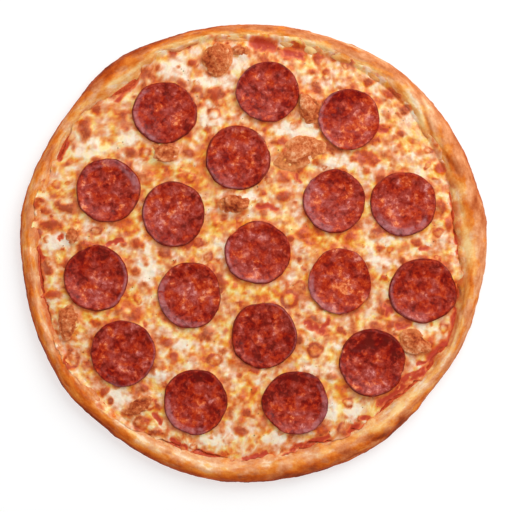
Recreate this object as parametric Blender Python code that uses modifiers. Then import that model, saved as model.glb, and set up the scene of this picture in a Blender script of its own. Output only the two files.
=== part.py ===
"""A whole round pizza, about 305 mm across, as it lies on a table: a baked crust with a raised rim, tomato
sauce, a blanket of melted cheese, eighteen cupped slices of pepperoni and ten crumbles of sausage.

Every length is in millimetres until a mesh is written, which is in metres. The pizza rests on z = 0 with the
middle of its outline on the Z axis. Angles are in degrees and turn from +X towards +Y.
"""

import bmesh
import bpy
import numpy as np

METRES = 0.001
GAP = 0.3
MERGE = 0.0001
ROUND_STEPS = 96
GOLDEN_TURN = np.pi * (3 - np.sqrt(5))

# The outline seen from above: a circle and its hand-stretched lobes, each (angle, half width, reach).
RIM_RADIUS = 150.8
RIM_LOBES = (
    (5, 8, 2.9), (11, 2.4, 0.8), (28, 12, 3.2), (52, 9, 2.9), (103, 8, 1.0), (127, 10, 5.9),
    (148, 6, 1.5), (168, 11, 4.9), (200, 9, 1.7), (217, 6, 2.4), (253, 13, 1.2), (283, 10, -0.8),
    (322, 8, -2.6),
)

# The lip, where the toppings end and the bare rim begins.
LIP_RADIUS = 138.6
LIP_LOBES = (
    (8, 9, -2.6), (31, 6, -1.4), (58, 16, 1.6), (112, 14, 6.0), (127, 6, -2.6), (146, 11, 6.2),
    (178, 20, 5.4), (216, 12, 1.6), (255, 7, 0.6), (283, 11, -4.2), (309, 8, -3.0), (336, 8, 3.6),
)

# The rim's crest, with knuckles where the dough rose and low stretches where it was pressed.
RIM_HEIGHT = 15.6
CREST_LOBES = (
    (11, 4, 1.1), (29, 7, 1.4), (62, 9, -1.0), (90, 14, -1.2), (128, 9, 1.5), (148, 6, -0.8),
    (166, 8, 1.3), (192, 7, -0.9), (217, 7, 1.2), (246, 9, -0.7), (268, 9, 0.8), (291, 6, -0.9),
    (312, 5, 0.9), (323, 5, -1.4), (344, 7, 0.9),
)
RIPPLES = ((9, 0.35, 0.4), (14, 0.30, 2.1), (23, 0.22, 4.0))

# The rim's section, from its foot over the crest to the table: (distance beyond the lip, height).
FLOOR_TOP = 6.5
RIM_SECTION = (
    (-4.4, FLOOR_TOP), (-1.6, 8.6), (1.2, 12.0), (3.4, 14.5), (5.8, RIM_HEIGHT), (8.4, 14.9), (10.6, 12.6),
    (11.9, 9.6), (RIM_RADIUS - LIP_RADIUS, 6.8), (11.4, 4.0), (9.5, 1.7), (6.6, 0.4), (3.8, 0),
)

# Layers on the crust's floor, from below, and how far short of the lip each of them ends.
SAUCE_THICKNESS = 1.1
SAUCE_BOTTOM = FLOOR_TOP + GAP
SAUCE_TOP = SAUCE_BOTTOM + SAUCE_THICKNESS
SAUCE_TOP_SHORT = 3.1
SAUCE_BOTTOM_SHORT = 4.7
CHEESE_BOTTOM = SAUCE_TOP + GAP
CHEESE_THICKNESS = 2.7
CHEESE_SHORT = 1.7
CHEESE_TUCK = 1.5
CHEESE_CELLS = 46
CHEESE_EDGE_SHARE = 0.5
CHEESE_EDGE_ROLL = 6.0

# Stretches where the cheese stops short of the lip and the sauce shows: (angle, half width, set back).
SAUCE_SHOWS = (
    (10, 8, 1.6), (87, 4, 5.0), (126, 4, 4.0), (151, 4, 2.4), (189, 8, 1.6), (254, 6, 2.4), (271, 5, 1.8),
    (286, 6, 2.6), (300, 4, 1.6), (313, 5, 2.6), (329, 5, 2.4), (343, 6, 3.4),
)

# Swells of the molten cheese, each (waves across the pizza, heading, height, phase), and its larger lumps.
SWELLS = ((2.3, 20, 0.34, 0.6), (3.1, 105, 0.30, 2.2), (4.3, 62, 0.26, 4.1), (5.2, 150, 0.22, 1.3))
LUMP_SEED = 18
LUMP_COUNT = 130
LUMP_HEIGHTS = (0.35, 0.95)
LUMP_RADII = (4.0, 7.5)
LUMP_NUDGE = 3

# Pepperoni: (angle and distance of its middle from the pizza's, width, depth).
PEPPERONI = (
    (8, 2.5, 42, 40), (277, 54.5, 42, 43), (342, 59.5, 41, 43), (33, 63.0, 40, 41), (99.5, 63.6, 41, 41),
    (154, 59, 40, 42), (213, 50.5, 41, 43), (285.6, 102.1, 43, 41), (317.3, 106.0, 42, 43),
    (347.5, 113.9, 43, 41), (18.3, 103.7, 43, 41), (54.6, 108.3, 40, 40), (85.1, 106.8, 41, 39.5),
    (122.4, 109.7, 41, 39.5), (156.7, 104.6, 41, 41), (189, 105.2, 41, 42), (217.4, 108.5, 42, 43),
    (248.5, 105.2, 41, 42),
)
SLICE_STEPS = 20
SLICE_THICKNESS = 1.5
SLICE_CURLS = (1.3, 2.1)
SLICE_SAG = 0.25
SLICE_WOBBLES = (0.010, 0.008)
SLICE_TWIST = 0.30
SLICE_SEED = 41

# The seat under each slice: the run that its lean is measured on, and the flat margin and fade round it.
SEAT_RUN = 4.0
SEAT_MARGIN = 2.0
SEAT_FADE = 4.0

# Sausage crumbles: (angle and distance of its middle, length, width, height, heading of its length).
SAUSAGE = (
    (100.8, 130.5, 18, 16.5, 4.2, 100), (69, 102.0, 18, 12, 4.4, 96), (64.5, 73.5, 27, 17, 3.0, 18),
    (112, 34.8, 16, 11, 3.8, 10), (131.8, 88.0, 15, 11, 3.8, 6), (200, 130.0, 18, 12, 4.4, 80),
    (331.2, 121.6, 16, 12, 3.8, 340), (174.2, 119.6, 10, 9, 3.0, 0), (233.2, 125.4, 15, 9, 3.4, 28),
    (93.8, 134.2, 8.5, 7.5, 2.8, 0),
)
CRUMBLE_SEED = 7
CRUMBLE_STEPS = (10, 7)
CRUMBLE_ROUGHNESS = 0.09
CRUMBLE_FLATTEST = 0.45
CRUMBLE_PROBES = 25

# Colour and roughness of each food.
FINISHES = {
    "baked_crust": ((0.62, 0.30, 0.10), 0.7),
    "tomato_sauce": ((0.42, 0.04, 0.015), 0.35),
    "melted_cheese": ((0.85, 0.62, 0.30), 0.4),
    "pepperoni": ((0.30, 0.025, 0.015), 0.35),
    "sausage": ((0.38, 0.16, 0.07), 0.6),
}


def on_lobes(angle, base, table):
    """The base value plus one bell curve per row of the table, at angles in radians."""
    value = np.full_like(angle, base)
    for where, half_width, reach in table:
        away = (angle - np.radians(where) + np.pi) % (2 * np.pi) - np.pi
        value += reach * np.exp(-0.5 * (away / np.radians(half_width)) ** 2)
    return value


def middle_of_outline():
    """The middle of the box round the lobed outline, which every piece is moved to stand on."""
    angle = np.radians(np.arange(ROUND_STEPS) * 360 / ROUND_STEPS)
    radius = on_lobes(angle, RIM_RADIUS, RIM_LOBES)
    outline = np.stack([radius * np.cos(angle), radius * np.sin(angle)])
    return (outline.min(axis=1) + outline.max(axis=1)) / 2


def smooth_step(value):
    """0 below 0, 1 above 1, and a smooth rise between."""
    value = np.clip(value, 0, 1)
    return value * value * (3 - 2 * value)


def stretched(points):
    """Points of the plain turned crust or sauce, moved out or in to the lobed lip, outline and crest."""
    x, y, z = points.T
    angle = np.arctan2(y, x)
    radius = np.hypot(x, y)
    lip = on_lobes(angle, LIP_RADIUS, LIP_LOBES)
    rim = on_lobes(angle, RIM_RADIUS, RIM_LOBES)
    inside = radius * lip / LIP_RADIUS
    outside = lip + (radius - LIP_RADIUS) * (rim - lip) / (RIM_RADIUS - LIP_RADIUS)
    radius = np.where(radius < LIP_RADIUS, inside, outside)
    crest = on_lobes(angle, 0.0, CREST_LOBES)
    for waves, height, phase in RIPPLES:
        crest += height * np.sin(waves * angle + phase)
    climb = np.clip((z - FLOOR_TOP) / (RIM_HEIGHT - FLOOR_TOP), 0, 1)
    return np.stack([radius * np.cos(angle), radius * np.sin(angle), z + crest * climb**2], axis=1)


def cheese_edge(angle):
    """How far out the cheese's top reaches, short of the lip where the sauce shows."""
    lip = on_lobes(angle, LIP_RADIUS, LIP_LOBES) * (1 - CHEESE_SHORT / LIP_RADIUS)
    return lip - on_lobes(angle, 0.0, SAUCE_SHOWS)


def lumps():
    """The cheese's larger lumps: spread evenly over the disc by the golden angle, each then nudged."""
    draw = np.random.default_rng(LUMP_SEED)
    order = np.arange(LUMP_COUNT) + 0.5
    turn = order * GOLDEN_TURN
    radius = (LIP_RADIUS - LUMP_RADII[1]) * np.sqrt(order / LUMP_COUNT)
    x = radius * np.cos(turn) + draw.normal(0, LUMP_NUDGE, LUMP_COUNT)
    y = radius * np.sin(turn) + draw.normal(0, LUMP_NUDGE, LUMP_COUNT)
    radii, heights = draw.uniform(*LUMP_RADII, LUMP_COUNT), draw.uniform(*LUMP_HEIGHTS, LUMP_COUNT)
    return np.stack([x, y, radii, heights], axis=1)


def swell_height(x, y):
    """The slow rise and fall of the cheese: a few sine waves that cross."""
    height = np.zeros_like(x)
    for waves, heading, size, phase in SWELLS:
        along = x * np.cos(np.radians(heading)) + y * np.sin(np.radians(heading))
        height += size * np.sin(2 * np.pi * waves * along / (2 * LIP_RADIUS) + phase)
    return height


def polar(angle, distance):
    """X and Y of a place given by its angle in degrees and its distance from the middle."""
    return distance * np.cos(np.radians(angle)), distance * np.sin(np.radians(angle))


def seat_plane(x, y, middle_x, middle_y):
    """The flat, slightly leaning seat that a slice presses into the swells, at each point."""
    level = swell_height(np.array([middle_x]), np.array([middle_y]))[0]
    lean_x = swell_height(np.array([middle_x + SEAT_RUN]), np.array([middle_y]))[0] - level
    lean_y = swell_height(np.array([middle_x]), np.array([middle_y + SEAT_RUN]))[0] - level
    lean = (lean_x * (x - middle_x) + lean_y * (y - middle_y)) / SEAT_RUN
    return CHEESE_BOTTOM + CHEESE_THICKNESS + level + lean


def cheese_top(x, y):
    """The cheese's upper face: swells and lumps, rolled down at its edge and flat under each slice."""
    angle = np.arctan2(y, x)
    height = CHEESE_THICKNESS + swell_height(x, y)
    for lump_x, lump_y, radius, size in lumps():
        height += size * np.exp(-((x - lump_x) ** 2 + (y - lump_y) ** 2) / radius**2)
    from_edge = cheese_edge(angle) - np.hypot(x, y)
    roll = CHEESE_EDGE_SHARE + (1 - CHEESE_EDGE_SHARE) * smooth_step(from_edge / CHEESE_EDGE_ROLL)
    height = CHEESE_BOTTOM + height * roll
    for at_angle, distance, width, depth in PEPPERONI:
        middle_x, middle_y = polar(at_angle, distance)
        reach = np.hypot(x - middle_x, y - middle_y) - (width + depth) / 4
        seated = 1 - smooth_step((reach - SEAT_MARGIN) / SEAT_FADE)
        height += (seat_plane(x, y, middle_x, middle_y) - height) * seated
    return height


def material(name):
    """A plain finish of a food's colour and roughness."""
    colour, roughness = FINISHES[name]
    made = bpy.data.materials.new(name)
    made.use_nodes = True
    shader = made.node_tree.nodes["Principled BSDF"]
    shader.inputs["Base Color"].default_value = (*colour, 1)
    shader.inputs["Roughness"].default_value = roughness
    shader.inputs["Metallic"].default_value = 0
    return made


def points_of(mesh):
    """The mesh's points as an array of rows."""
    points = np.empty(len(mesh.vertices) * 3)
    mesh.vertices.foreach_get("co", points)
    return points.reshape(-1, 3)


def placed(name, mesh, finish, pizza):
    """A new smooth-shaded object in the pizza's collection, on the middle of the outline."""
    points = points_of(mesh)
    points[:, :2] -= middle_of_outline()
    mesh.vertices.foreach_set("co", (points * METRES).ravel())
    mesh.shade_smooth()
    mesh.materials.append(finish)
    mesh.update()
    piece = bpy.data.objects.new(name, mesh)
    pizza.objects.link(piece)
    return piece


def turned(name, profile, steps):
    """The mesh of a half profile, from the top of the axis out and back to its foot, turned once round it."""
    outline = bpy.data.meshes.new(name)
    edges = [(i, i + 1) for i in range(len(profile) - 1)]
    outline.from_pydata([(radius, 0, height) for radius, height in profile], edges, [])
    piece = bpy.data.objects.new(name, outline)
    bpy.context.scene.collection.objects.link(piece)
    screw = piece.modifiers.new("Turn", "SCREW")
    screw.steps = steps
    screw.render_steps = steps
    screw.use_merge_vertices = True
    screw.merge_threshold = MERGE
    graph = bpy.context.evaluated_depsgraph_get()
    mesh = bpy.data.meshes.new_from_object(piece.evaluated_get(graph))
    bpy.data.objects.remove(piece)
    return mesh


def lobed(name, profile, finish, pizza):
    """A piece turned from its half profile and then stretched to the pizza's lobes."""
    mesh = turned(name, profile, ROUND_STEPS)
    mesh.vertices.foreach_set("co", stretched(points_of(mesh)).ravel())
    return placed(name, mesh, finish, pizza)


def crust(finish, pizza):
    """A level floor for the toppings, and round it a rim that rises, rolls over and tucks under."""
    rim = [(LIP_RADIUS + beyond, height) for beyond, height in RIM_SECTION]
    return lobed("crust", [(0, FLOOR_TOP), *rim, (0, 0)], finish, pizza)


def sauce(finish, pizza):
    """A thin spread on the floor, with an edge that leans out along the foot of the rim."""
    upper, lower = LIP_RADIUS - SAUCE_TOP_SHORT, LIP_RADIUS - SAUCE_BOTTOM_SHORT
    profile = ((0, SAUCE_TOP), (upper, SAUCE_TOP), (lower, SAUCE_BOTTOM), (0, SAUCE_BOTTOM))
    return lobed("tomato_sauce", profile, finish, pizza)


def cheese(finish, pizza):
    """A square grid drawn out to a disc, lifted to the relief, and closed by a skirt and a flat base."""
    form = bmesh.new()
    bmesh.ops.create_grid(form, x_segments=CHEESE_CELLS, y_segments=CHEESE_CELLS, size=1)
    across, along, _ = np.array([vertex.co for vertex in form.verts]).T
    x = across * np.sqrt(1 - along**2 / 2)
    y = along * np.sqrt(1 - across**2 / 2)
    angle = np.arctan2(y, x)
    radius = np.hypot(x, y) * cheese_edge(angle)
    x, y = radius * np.cos(angle), radius * np.sin(angle)
    for vertex, *place in zip(form.verts, x, y, cheese_top(x, y)):
        vertex.co = place
    border = [edge for edge in form.edges if edge.is_boundary]
    skirt = bmesh.ops.extrude_edge_only(form, edges=border)["geom"]
    tuck = 1 - CHEESE_TUCK / LIP_RADIUS
    for vertex in (part for part in skirt if isinstance(part, bmesh.types.BMVert)):
        vertex.co = (vertex.co.x * tuck, vertex.co.y * tuck, CHEESE_BOTTOM)
    hem = [part for part in skirt if isinstance(part, bmesh.types.BMEdge)]
    base = bmesh.ops.contextual_create(form, geom=hem)["faces"]
    bmesh.ops.poke(form, faces=base)
    bmesh.ops.recalc_face_normals(form, faces=form.faces)
    mesh = bpy.data.meshes.new("cheese")
    form.to_mesh(mesh)
    form.free()
    return placed("cheese", mesh, finish, pizza)


def pepperoni(number, row, finish, pizza):
    """A thin round slice: pressed into its seat in the middle, its edge baked up into a shallow cup."""
    at_angle, distance, width, depth = row
    draw = np.random.default_rng(SLICE_SEED + number)
    curl = draw.uniform(*SLICE_CURLS)
    phase, second = draw.uniform(0, 2 * np.pi, 2)
    thick = SLICE_THICKNESS
    profile = (
        (0, thick - SLICE_SAG), (0.50, thick), (0.77, thick + 0.35 * curl), (0.93, thick + curl),
        (1, thick + 0.75 * curl), (0.72, 0), (0, 0),
    )
    name = f"pepperoni_{number:02d}"
    mesh = turned(name, profile, SLICE_STEPS)
    x, y, z = points_of(mesh).T
    angle = np.arctan2(y, x)
    radius = np.hypot(x, y)
    broad, close = SLICE_WOBBLES
    wobble = 1 + broad * np.cos(3 * angle + phase) + close * np.cos(5 * angle + second)
    lift = SLICE_TWIST * curl * np.cos(2 * angle + second) * smooth_step((radius - 0.5) / 0.5)
    middle_x, middle_y = polar(at_angle, distance)
    x = middle_x + x * wobble * width / 2
    y = middle_y + y * wobble * depth / 2
    z = z + np.where(z > thick, lift, 0) + seat_plane(x, y, middle_x, middle_y) + GAP
    mesh.vertices.foreach_set("co", np.stack([x, y, z], axis=1).ravel())
    return placed(name, mesh, finish, pizza)


def crumble(number, row, finish, pizza):
    """A craggy lump: a ball drawn out to its three sizes, roughened, and flat where it lies on the cheese."""
    at_angle, distance, length, width, height, heading = row
    draw = np.random.default_rng(CRUMBLE_SEED + number)
    form = bmesh.new()
    bmesh.ops.create_uvsphere(form, u_segments=CRUMBLE_STEPS[0], v_segments=CRUMBLE_STEPS[1], radius=1)
    points = np.array([vertex.co for vertex in form.verts])
    points *= 1 + draw.normal(0, CRUMBLE_ROUGHNESS, (len(points), 1))
    points[:, 2] = np.maximum(points[:, 2], -CRUMBLE_FLATTEST) + CRUMBLE_FLATTEST
    points *= (length / 2, width / 2, height / (1 + CRUMBLE_FLATTEST))
    turn = np.radians(heading)
    middle_x, middle_y = polar(at_angle, distance)
    x = middle_x + points[:, 0] * np.cos(turn) - points[:, 1] * np.sin(turn)
    y = middle_y + points[:, 0] * np.sin(turn) + points[:, 1] * np.cos(turn)
    reach = length / 2 + 2 * LIP_RADIUS / CHEESE_CELLS
    around = np.linspace(-reach, reach, CRUMBLE_PROBES)
    near_x, near_y = np.meshgrid(middle_x + around, middle_y + around)
    near = np.hypot(near_x - middle_x, near_y - middle_y) < reach
    rest = cheese_top(near_x[near], near_y[near]).max() + GAP
    for vertex, *place in zip(form.verts, x, y, points[:, 2] + rest):
        vertex.co = place
    name = f"sausage_{number:02d}"
    mesh = bpy.data.meshes.new(name)
    form.to_mesh(mesh)
    form.free()
    return placed(name, mesh, finish, pizza)


def main():
    """Clears the file and makes the pizza, one object for each piece."""
    for old in list(bpy.data.objects):
        bpy.data.objects.remove(old)
    pizza = bpy.data.collections.new("pepperoni_pizza")
    bpy.context.scene.collection.children.link(pizza)
    crust(material("baked_crust"), pizza)
    sauce(material("tomato_sauce"), pizza)
    cheese(material("melted_cheese"), pizza)
    cured = material("pepperoni")
    for number, row in enumerate(PEPPERONI, 1):
        pepperoni(number, row, cured, pizza)
    browned = material("sausage")
    for number, row in enumerate(SAUSAGE, 1):
        crumble(number, row, browned, pizza)


main()
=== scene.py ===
# %% [markdown]
# # A pepperoni pizza, straight from the oven
#
# The frame holds the pizza as plain solids: crust, sauce, cheese, slices and crumbles, each in its real
# place. This notebook gives every one of them its fine surface and its finish. A pizza is a good exercise
# because nothing on it is flat in colour: baking browns what stands high and leaves what lies low wet and
# red. So the relief and the browning are worked out together, from the same formulas, and the shaders only
# add the grain.

import bpy
import numpy as np
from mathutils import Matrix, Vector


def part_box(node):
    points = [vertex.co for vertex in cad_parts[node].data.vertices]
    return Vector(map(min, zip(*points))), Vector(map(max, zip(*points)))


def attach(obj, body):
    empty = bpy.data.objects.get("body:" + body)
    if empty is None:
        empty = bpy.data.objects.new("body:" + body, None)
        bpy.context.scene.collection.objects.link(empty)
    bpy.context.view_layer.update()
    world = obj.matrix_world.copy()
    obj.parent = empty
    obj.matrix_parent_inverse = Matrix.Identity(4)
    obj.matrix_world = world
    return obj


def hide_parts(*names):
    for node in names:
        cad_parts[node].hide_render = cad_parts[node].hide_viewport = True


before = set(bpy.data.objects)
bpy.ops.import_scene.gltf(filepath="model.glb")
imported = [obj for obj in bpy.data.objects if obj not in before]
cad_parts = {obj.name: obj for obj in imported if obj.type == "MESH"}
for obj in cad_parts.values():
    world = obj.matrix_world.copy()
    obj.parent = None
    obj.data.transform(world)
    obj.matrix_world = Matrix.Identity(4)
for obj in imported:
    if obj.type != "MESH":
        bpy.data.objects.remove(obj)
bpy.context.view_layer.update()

print("the frame holds", len(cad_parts), "solids")

# %% [markdown]
# ## Measures
#
# Lengths are in millimetres until a mesh is written. The pizza is twelve inches across, and the photograph
# looks straight down on it, so one of its pixels is the same length all over the pizza. The outline is a
# circle with lobes: every stretch that was pulled out or pressed in by hand is one bell curve round the
# circle.

# %% Outline, lip and crest
METRES = 0.001
GAP = 0.3
ROUND_STEPS = 96
RIM_RADIUS = 150.8
RIM_LOBES = (
    (5, 8, 2.9), (11, 2.4, 0.8), (28, 12, 3.2), (52, 9, 2.9), (103, 8, 1.0), (127, 10, 5.9), (148, 6, 1.5),
    (168, 11, 4.9), (200, 9, 1.7), (217, 6, 2.4), (253, 13, 1.2), (283, 10, -0.8), (322, 8, -2.6),
)
LIP_RADIUS = 138.6
LIP_LOBES = (
    (8, 9, -2.6), (31, 6, -1.4), (58, 16, 1.6), (112, 14, 6.0), (127, 6, -2.6), (146, 11, 6.2),
    (178, 20, 5.4), (216, 12, 1.6), (255, 7, 0.6), (283, 11, -4.2), (309, 8, -3.0), (336, 8, 3.6),
)
RIM_HEIGHT = 15.6
CREST_LOBES = (
    (11, 4, 1.1), (29, 7, 1.4), (62, 9, -1.0), (90, 14, -1.2), (128, 9, 1.5), (148, 6, -0.8), (166, 8, 1.3),
    (192, 7, -0.9), (217, 7, 1.2), (246, 9, -0.7), (268, 9, 0.8), (291, 6, -0.9), (312, 5, 0.9),
    (323, 5, -1.4), (344, 7, 0.9),
)
RIPPLES = ((9, 0.35, 0.4), (14, 0.30, 2.1), (23, 0.22, 4.0))


def turn_from(where, angle):
    """The way round the circle from where to each angle, in radians, at most half a turn."""
    return (angle - where + np.pi) % (2 * np.pi) - np.pi


def on_lobes(angle, base, table):
    """The base value plus one bell curve per row (angle, half width, reach), at angles in radians."""
    value = np.full_like(angle, base)
    for where, half_width, reach in table:
        away = turn_from(np.radians(where), angle)
        value += reach * np.exp(-0.5 * (away / np.radians(half_width)) ** 2)
    return value


def middle_of_outline():
    """The middle of the box round the lobed outline, which stands on the origin."""
    angle = np.radians(np.arange(ROUND_STEPS) * 360 / ROUND_STEPS)
    radius = on_lobes(angle, RIM_RADIUS, RIM_LOBES)
    outline = np.stack([radius * np.cos(angle), radius * np.sin(angle)])
    return (outline.min(axis=1) + outline.max(axis=1)) / 2


MIDDLE = middle_of_outline()
print("the outline's middle lies", MIDDLE.round(2), "mm from the middle of its circle")

# %% Layers and relief of the cheese
FLOOR_TOP = 6.5
SAUCE_TOP = FLOOR_TOP + GAP + 1.1
CHEESE_BOTTOM = SAUCE_TOP + GAP
CHEESE_THICKNESS = 2.7
CHEESE_THINNEST = 0.7
CHEESE_EDGE_SHARE = 0.5
CHEESE_EDGE_ROLL = 6.0
SAUCE_SHOWS = (
    (10, 8, 1.6), (127, 3, 3.4), (151, 2.4, 2.4), (189, 8, 1.6), (254, 6, 2.4), (271, 5, 1.8),
    (286, 6, 2.6), (300, 4, 1.6), (313, 5, 2.6), (329, 5, 2.4), (343, 6, 3.4),
)
SWELLS = ((2.3, 20, 0.34, 0.6), (3.1, 105, 0.30, 2.2), (4.3, 62, 0.26, 4.1), (5.2, 150, 0.22, 1.3))
LUMP_SEED = 18
LUMP_COUNT = 130
LUMP_SCATTER = 3
LUMP_HEIGHTS = (0.35, 0.95)
LUMP_RADII = (4.0, 7.5)
CHEESE_TOP = CHEESE_BOTTOM + CHEESE_THICKNESS
print("cheese lies from", round(CHEESE_BOTTOM, 2), "to about", round(CHEESE_TOP, 2), "mm")

# %% Slices and crumbles
PEPPERONI = (
    (8, 2.5, 42, 40), (277, 54.5, 42, 43), (342, 59.5, 41, 43), (33, 63.0, 40, 41), (99.5, 63.6, 41, 41),
    (154, 59, 40, 42), (213, 50.5, 41, 43), (285.6, 102.1, 43, 41), (317.3, 106.0, 42, 43),
    (347.5, 113.9, 43, 41), (18.3, 103.7, 43, 41), (54.6, 108.3, 40, 40), (85.1, 106.8, 41, 39.5),
    (122.4, 109.7, 41, 39.5), (156.7, 104.6, 41, 41), (189, 105.2, 41, 42), (217.4, 108.5, 42, 43),
    (248.5, 105.2, 41, 42),
)
SLICE_THICKNESS = 1.5
SLICE_CURLS = (1.3, 2.1)
SLICE_SAG = 0.25
SLICE_SEED = 41
SAUSAGE = (
    (100.8, 130.5, 18, 16.5, 4.2, 100), (69, 102.0, 18, 12, 4.4, 96), (64.5, 73.5, 27, 17, 3.0, 18),
    (112, 34.8, 16, 11, 3.8, 10), (131.8, 88.0, 15, 11, 3.8, 6), (200, 130.0, 18, 12, 4.4, 80),
    (331.2, 121.6, 16, 12, 3.8, 340), (174.2, 119.6, 10, 9, 3.0, 0), (233.2, 125.4, 15, 9, 3.4, 28),
    (93.8, 134.2, 8.5, 7.5, 2.8, 0),
)
print(len(PEPPERONI), "slices and", len(SAUSAGE), "crumbles")

# %% [markdown]
# ## Noise, bumps and curves
#
# Natural surfaces need randomness that is smooth and can be repeated. Gradient noise gives each corner of a
# lattice a random slope and fades between them. Summed at halving sizes it looks like clouds, and
# thresholds of it look like islands. Working it out with whole arrays keeps a sheet of ninety thousand
# points quick.

# %% Noise
LATTICE = 256


def smooth_step(value):
    """0 below 0, 1 above 1, and the curve 3t2 - 2t3 between."""
    value = np.clip(value, 0, 1)
    return value * value * (3 - 2 * value)


def cloud(u, v, seed, around=LATTICE):
    """Gradient noise of about -1 to 1 with one cell per unit: each corner's random slope times the way from
    it, faded from corner to corner by 6t5 - 15t4 + 10t3. The lattice closes on itself after around cells of
    u."""
    column, row = np.floor(u).astype(int), np.floor(v).astype(int)
    u, v = u - column, v - row
    heading = np.random.default_rng(seed).uniform(0, 2 * np.pi, (around, LATTICE))

    def corner(i, j):
        turn = heading[(column + i) % around, (row + j) % LATTICE]
        return np.cos(turn) * (u - i) + np.sin(turn) * (v - j)

    fade_u, fade_v = (t**3 * (t * (6 * t - 15) + 10) for t in (u, v))
    lower = corner(0, 0) * (1 - fade_u) + corner(1, 0) * fade_u
    upper = corner(0, 1) * (1 - fade_u) + corner(1, 1) * fade_u
    return 1.5 * (lower * (1 - fade_v) + upper * fade_v)


def clouds(u, v, seed, octaves=3, around=LATTICE):
    """Noise on noise: each octave has half the size and half the height of the one before."""
    return sum(cloud(u * 2**k, v * 2**k, seed + k, around * 2**k) / 2**k for k in range(octaves))


def polar(angle, distance):
    return distance * np.cos(np.radians(angle)), distance * np.sin(np.radians(angle))


def turned_back(x, y, heading):
    """How far a place lies along a heading in radians, and how far to its left."""
    return x * np.cos(heading) + y * np.sin(heading), y * np.cos(heading) - x * np.sin(heading)


def sunflower(count, reach):
    """Places spread evenly over a disc, as seeds are: each a golden angle on from the one before it."""
    order = np.arange(count) + 0.5
    turn, way = order * np.pi * (3 - np.sqrt(5)), reach * np.sqrt(order / count)
    return way * np.cos(turn), way * np.sin(turn)


print("noise ready")

# %% [markdown]
# ## Meshes from arrays
#
# A turned piece is a stack of rings, each a row of points round the axis. The curve from ring to ring goes
# smoothly through the same few profile points that the plain solid has, so the fine surface keeps its form.

# %% Curves and rings to meshes
def rounded(profile, steps):
    """A smooth curve through the profile's points: cubic pieces that leave each point along the parabola
    through it and its neighbours, with steps points on each piece."""
    knots = np.array(profile, float)
    spans = np.diff(knots, axis=0)
    length = np.linalg.norm(spans, axis=1)[:, None]
    slope = spans / length
    inner = (slope[:-1] * length[1:] + slope[1:] * length[:-1]) / (length[:-1] + length[1:])
    leave = np.vstack([slope[:1], inner, slope[-1:]])
    t = np.linspace(0, 1, steps, endpoint=False)[None, :, None]
    start, end, reach = knots[:-1, None], knots[1:, None], length[:, None]
    curve = (2 * t**3 - 3 * t**2 + 1) * start + (3 * t**2 - 2 * t**3) * end
    curve += reach * ((t**3 - 2 * t**2 + t) * leave[:-1, None] + (t**3 - t**2) * leave[1:, None])
    return np.vstack([curve.reshape(-1, 2), knots[-1:]])


def linked(name, data):
    """A new object of that data, in the scene."""
    made = bpy.data.objects.new(name, data)
    bpy.context.scene.collection.objects.link(made)
    return made


def piece_from(name, points, faces, finish, nodes):
    """A smooth object at the origin that rides on the pizza and stands for its nodes. Points are in
    millimetres from the middle of the circle, and faces is a list of arrays of corners."""
    points = points - [*MIDDLE, 0]
    mesh = bpy.data.meshes.new(name)
    mesh.from_pydata((points * METRES).tolist(), [], [face for block in faces for face in block.tolist()])
    mesh.shade_smooth()
    mesh.materials.append(finish)
    mesh.update()
    piece = linked(name, mesh)
    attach(piece, "root")
    if nodes:
        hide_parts(*nodes)
    return piece


def carry(piece, **values):
    """Stores one number per point for the shader to read."""
    for name, value in values.items():
        attribute = piece.data.attributes.new(name, "FLOAT", "POINT")
        attribute.data.foreach_set("value", np.ascontiguousarray(value, np.float32).ravel())


def ring_faces(rings, columns):
    """Quads between neighbouring rings that close round the axis, then a fan to a pole at each end. The
    poles are the last two points, after rings times columns of others."""
    ring, column = np.meshgrid(np.arange(rings - 1), np.arange(columns), indexing="ij")
    after = (column + 1) % columns
    quads = np.stack([ring * columns + column, (ring + 1) * columns + column,
                      (ring + 1) * columns + after, ring * columns + after], axis=-1).reshape(-1, 4)
    near = np.arange(columns)
    next_one = (near + 1) % columns
    last = (rings - 1) * columns
    top, bottom = np.full(columns, rings * columns), np.full(columns, rings * columns + 1)
    above = np.stack([top, near, next_one], axis=1)
    below = np.stack([bottom, last + next_one, last + near], axis=1)
    return [quads, above, below]


def whole_turn(count):
    return np.arange(count) * 2 * np.pi / count


def turned(curve, columns):
    """The angle and the curve's two values at each point of its rings, one ring for each of its points."""
    angle, first = np.meshgrid(whole_turn(columns), curve[:, 0])
    return angle, first, curve[:, 1, None] + 0 * angle


def round_points(angle, radius, z):
    return np.stack([radius * np.cos(angle), radius * np.sin(angle), z], axis=-1)


def turned_piece(name, rings, finish, node):
    """The closed piece that a stack of rings makes, shaped (rings, columns, 3), with a pole in the middle
    of its first and of its last ring."""
    points = np.vstack([rings.reshape(-1, 3), rings[0].mean(axis=0), rings[-1].mean(axis=0)])
    return piece_from(name, points, ring_faces(*rings.shape[:2]), finish, [node])


print("mesh helpers ready")

# %% [markdown]
# ## Shader arithmetic
#
# A material is easier to read as a sum than as a page of linked boxes. The class below wraps a node's
# output so that a + b or 1 - a adds the Math node itself. Every other node comes from one method, which
# sets the node's own settings first and then fills its sockets with numbers, colours or links.

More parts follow.
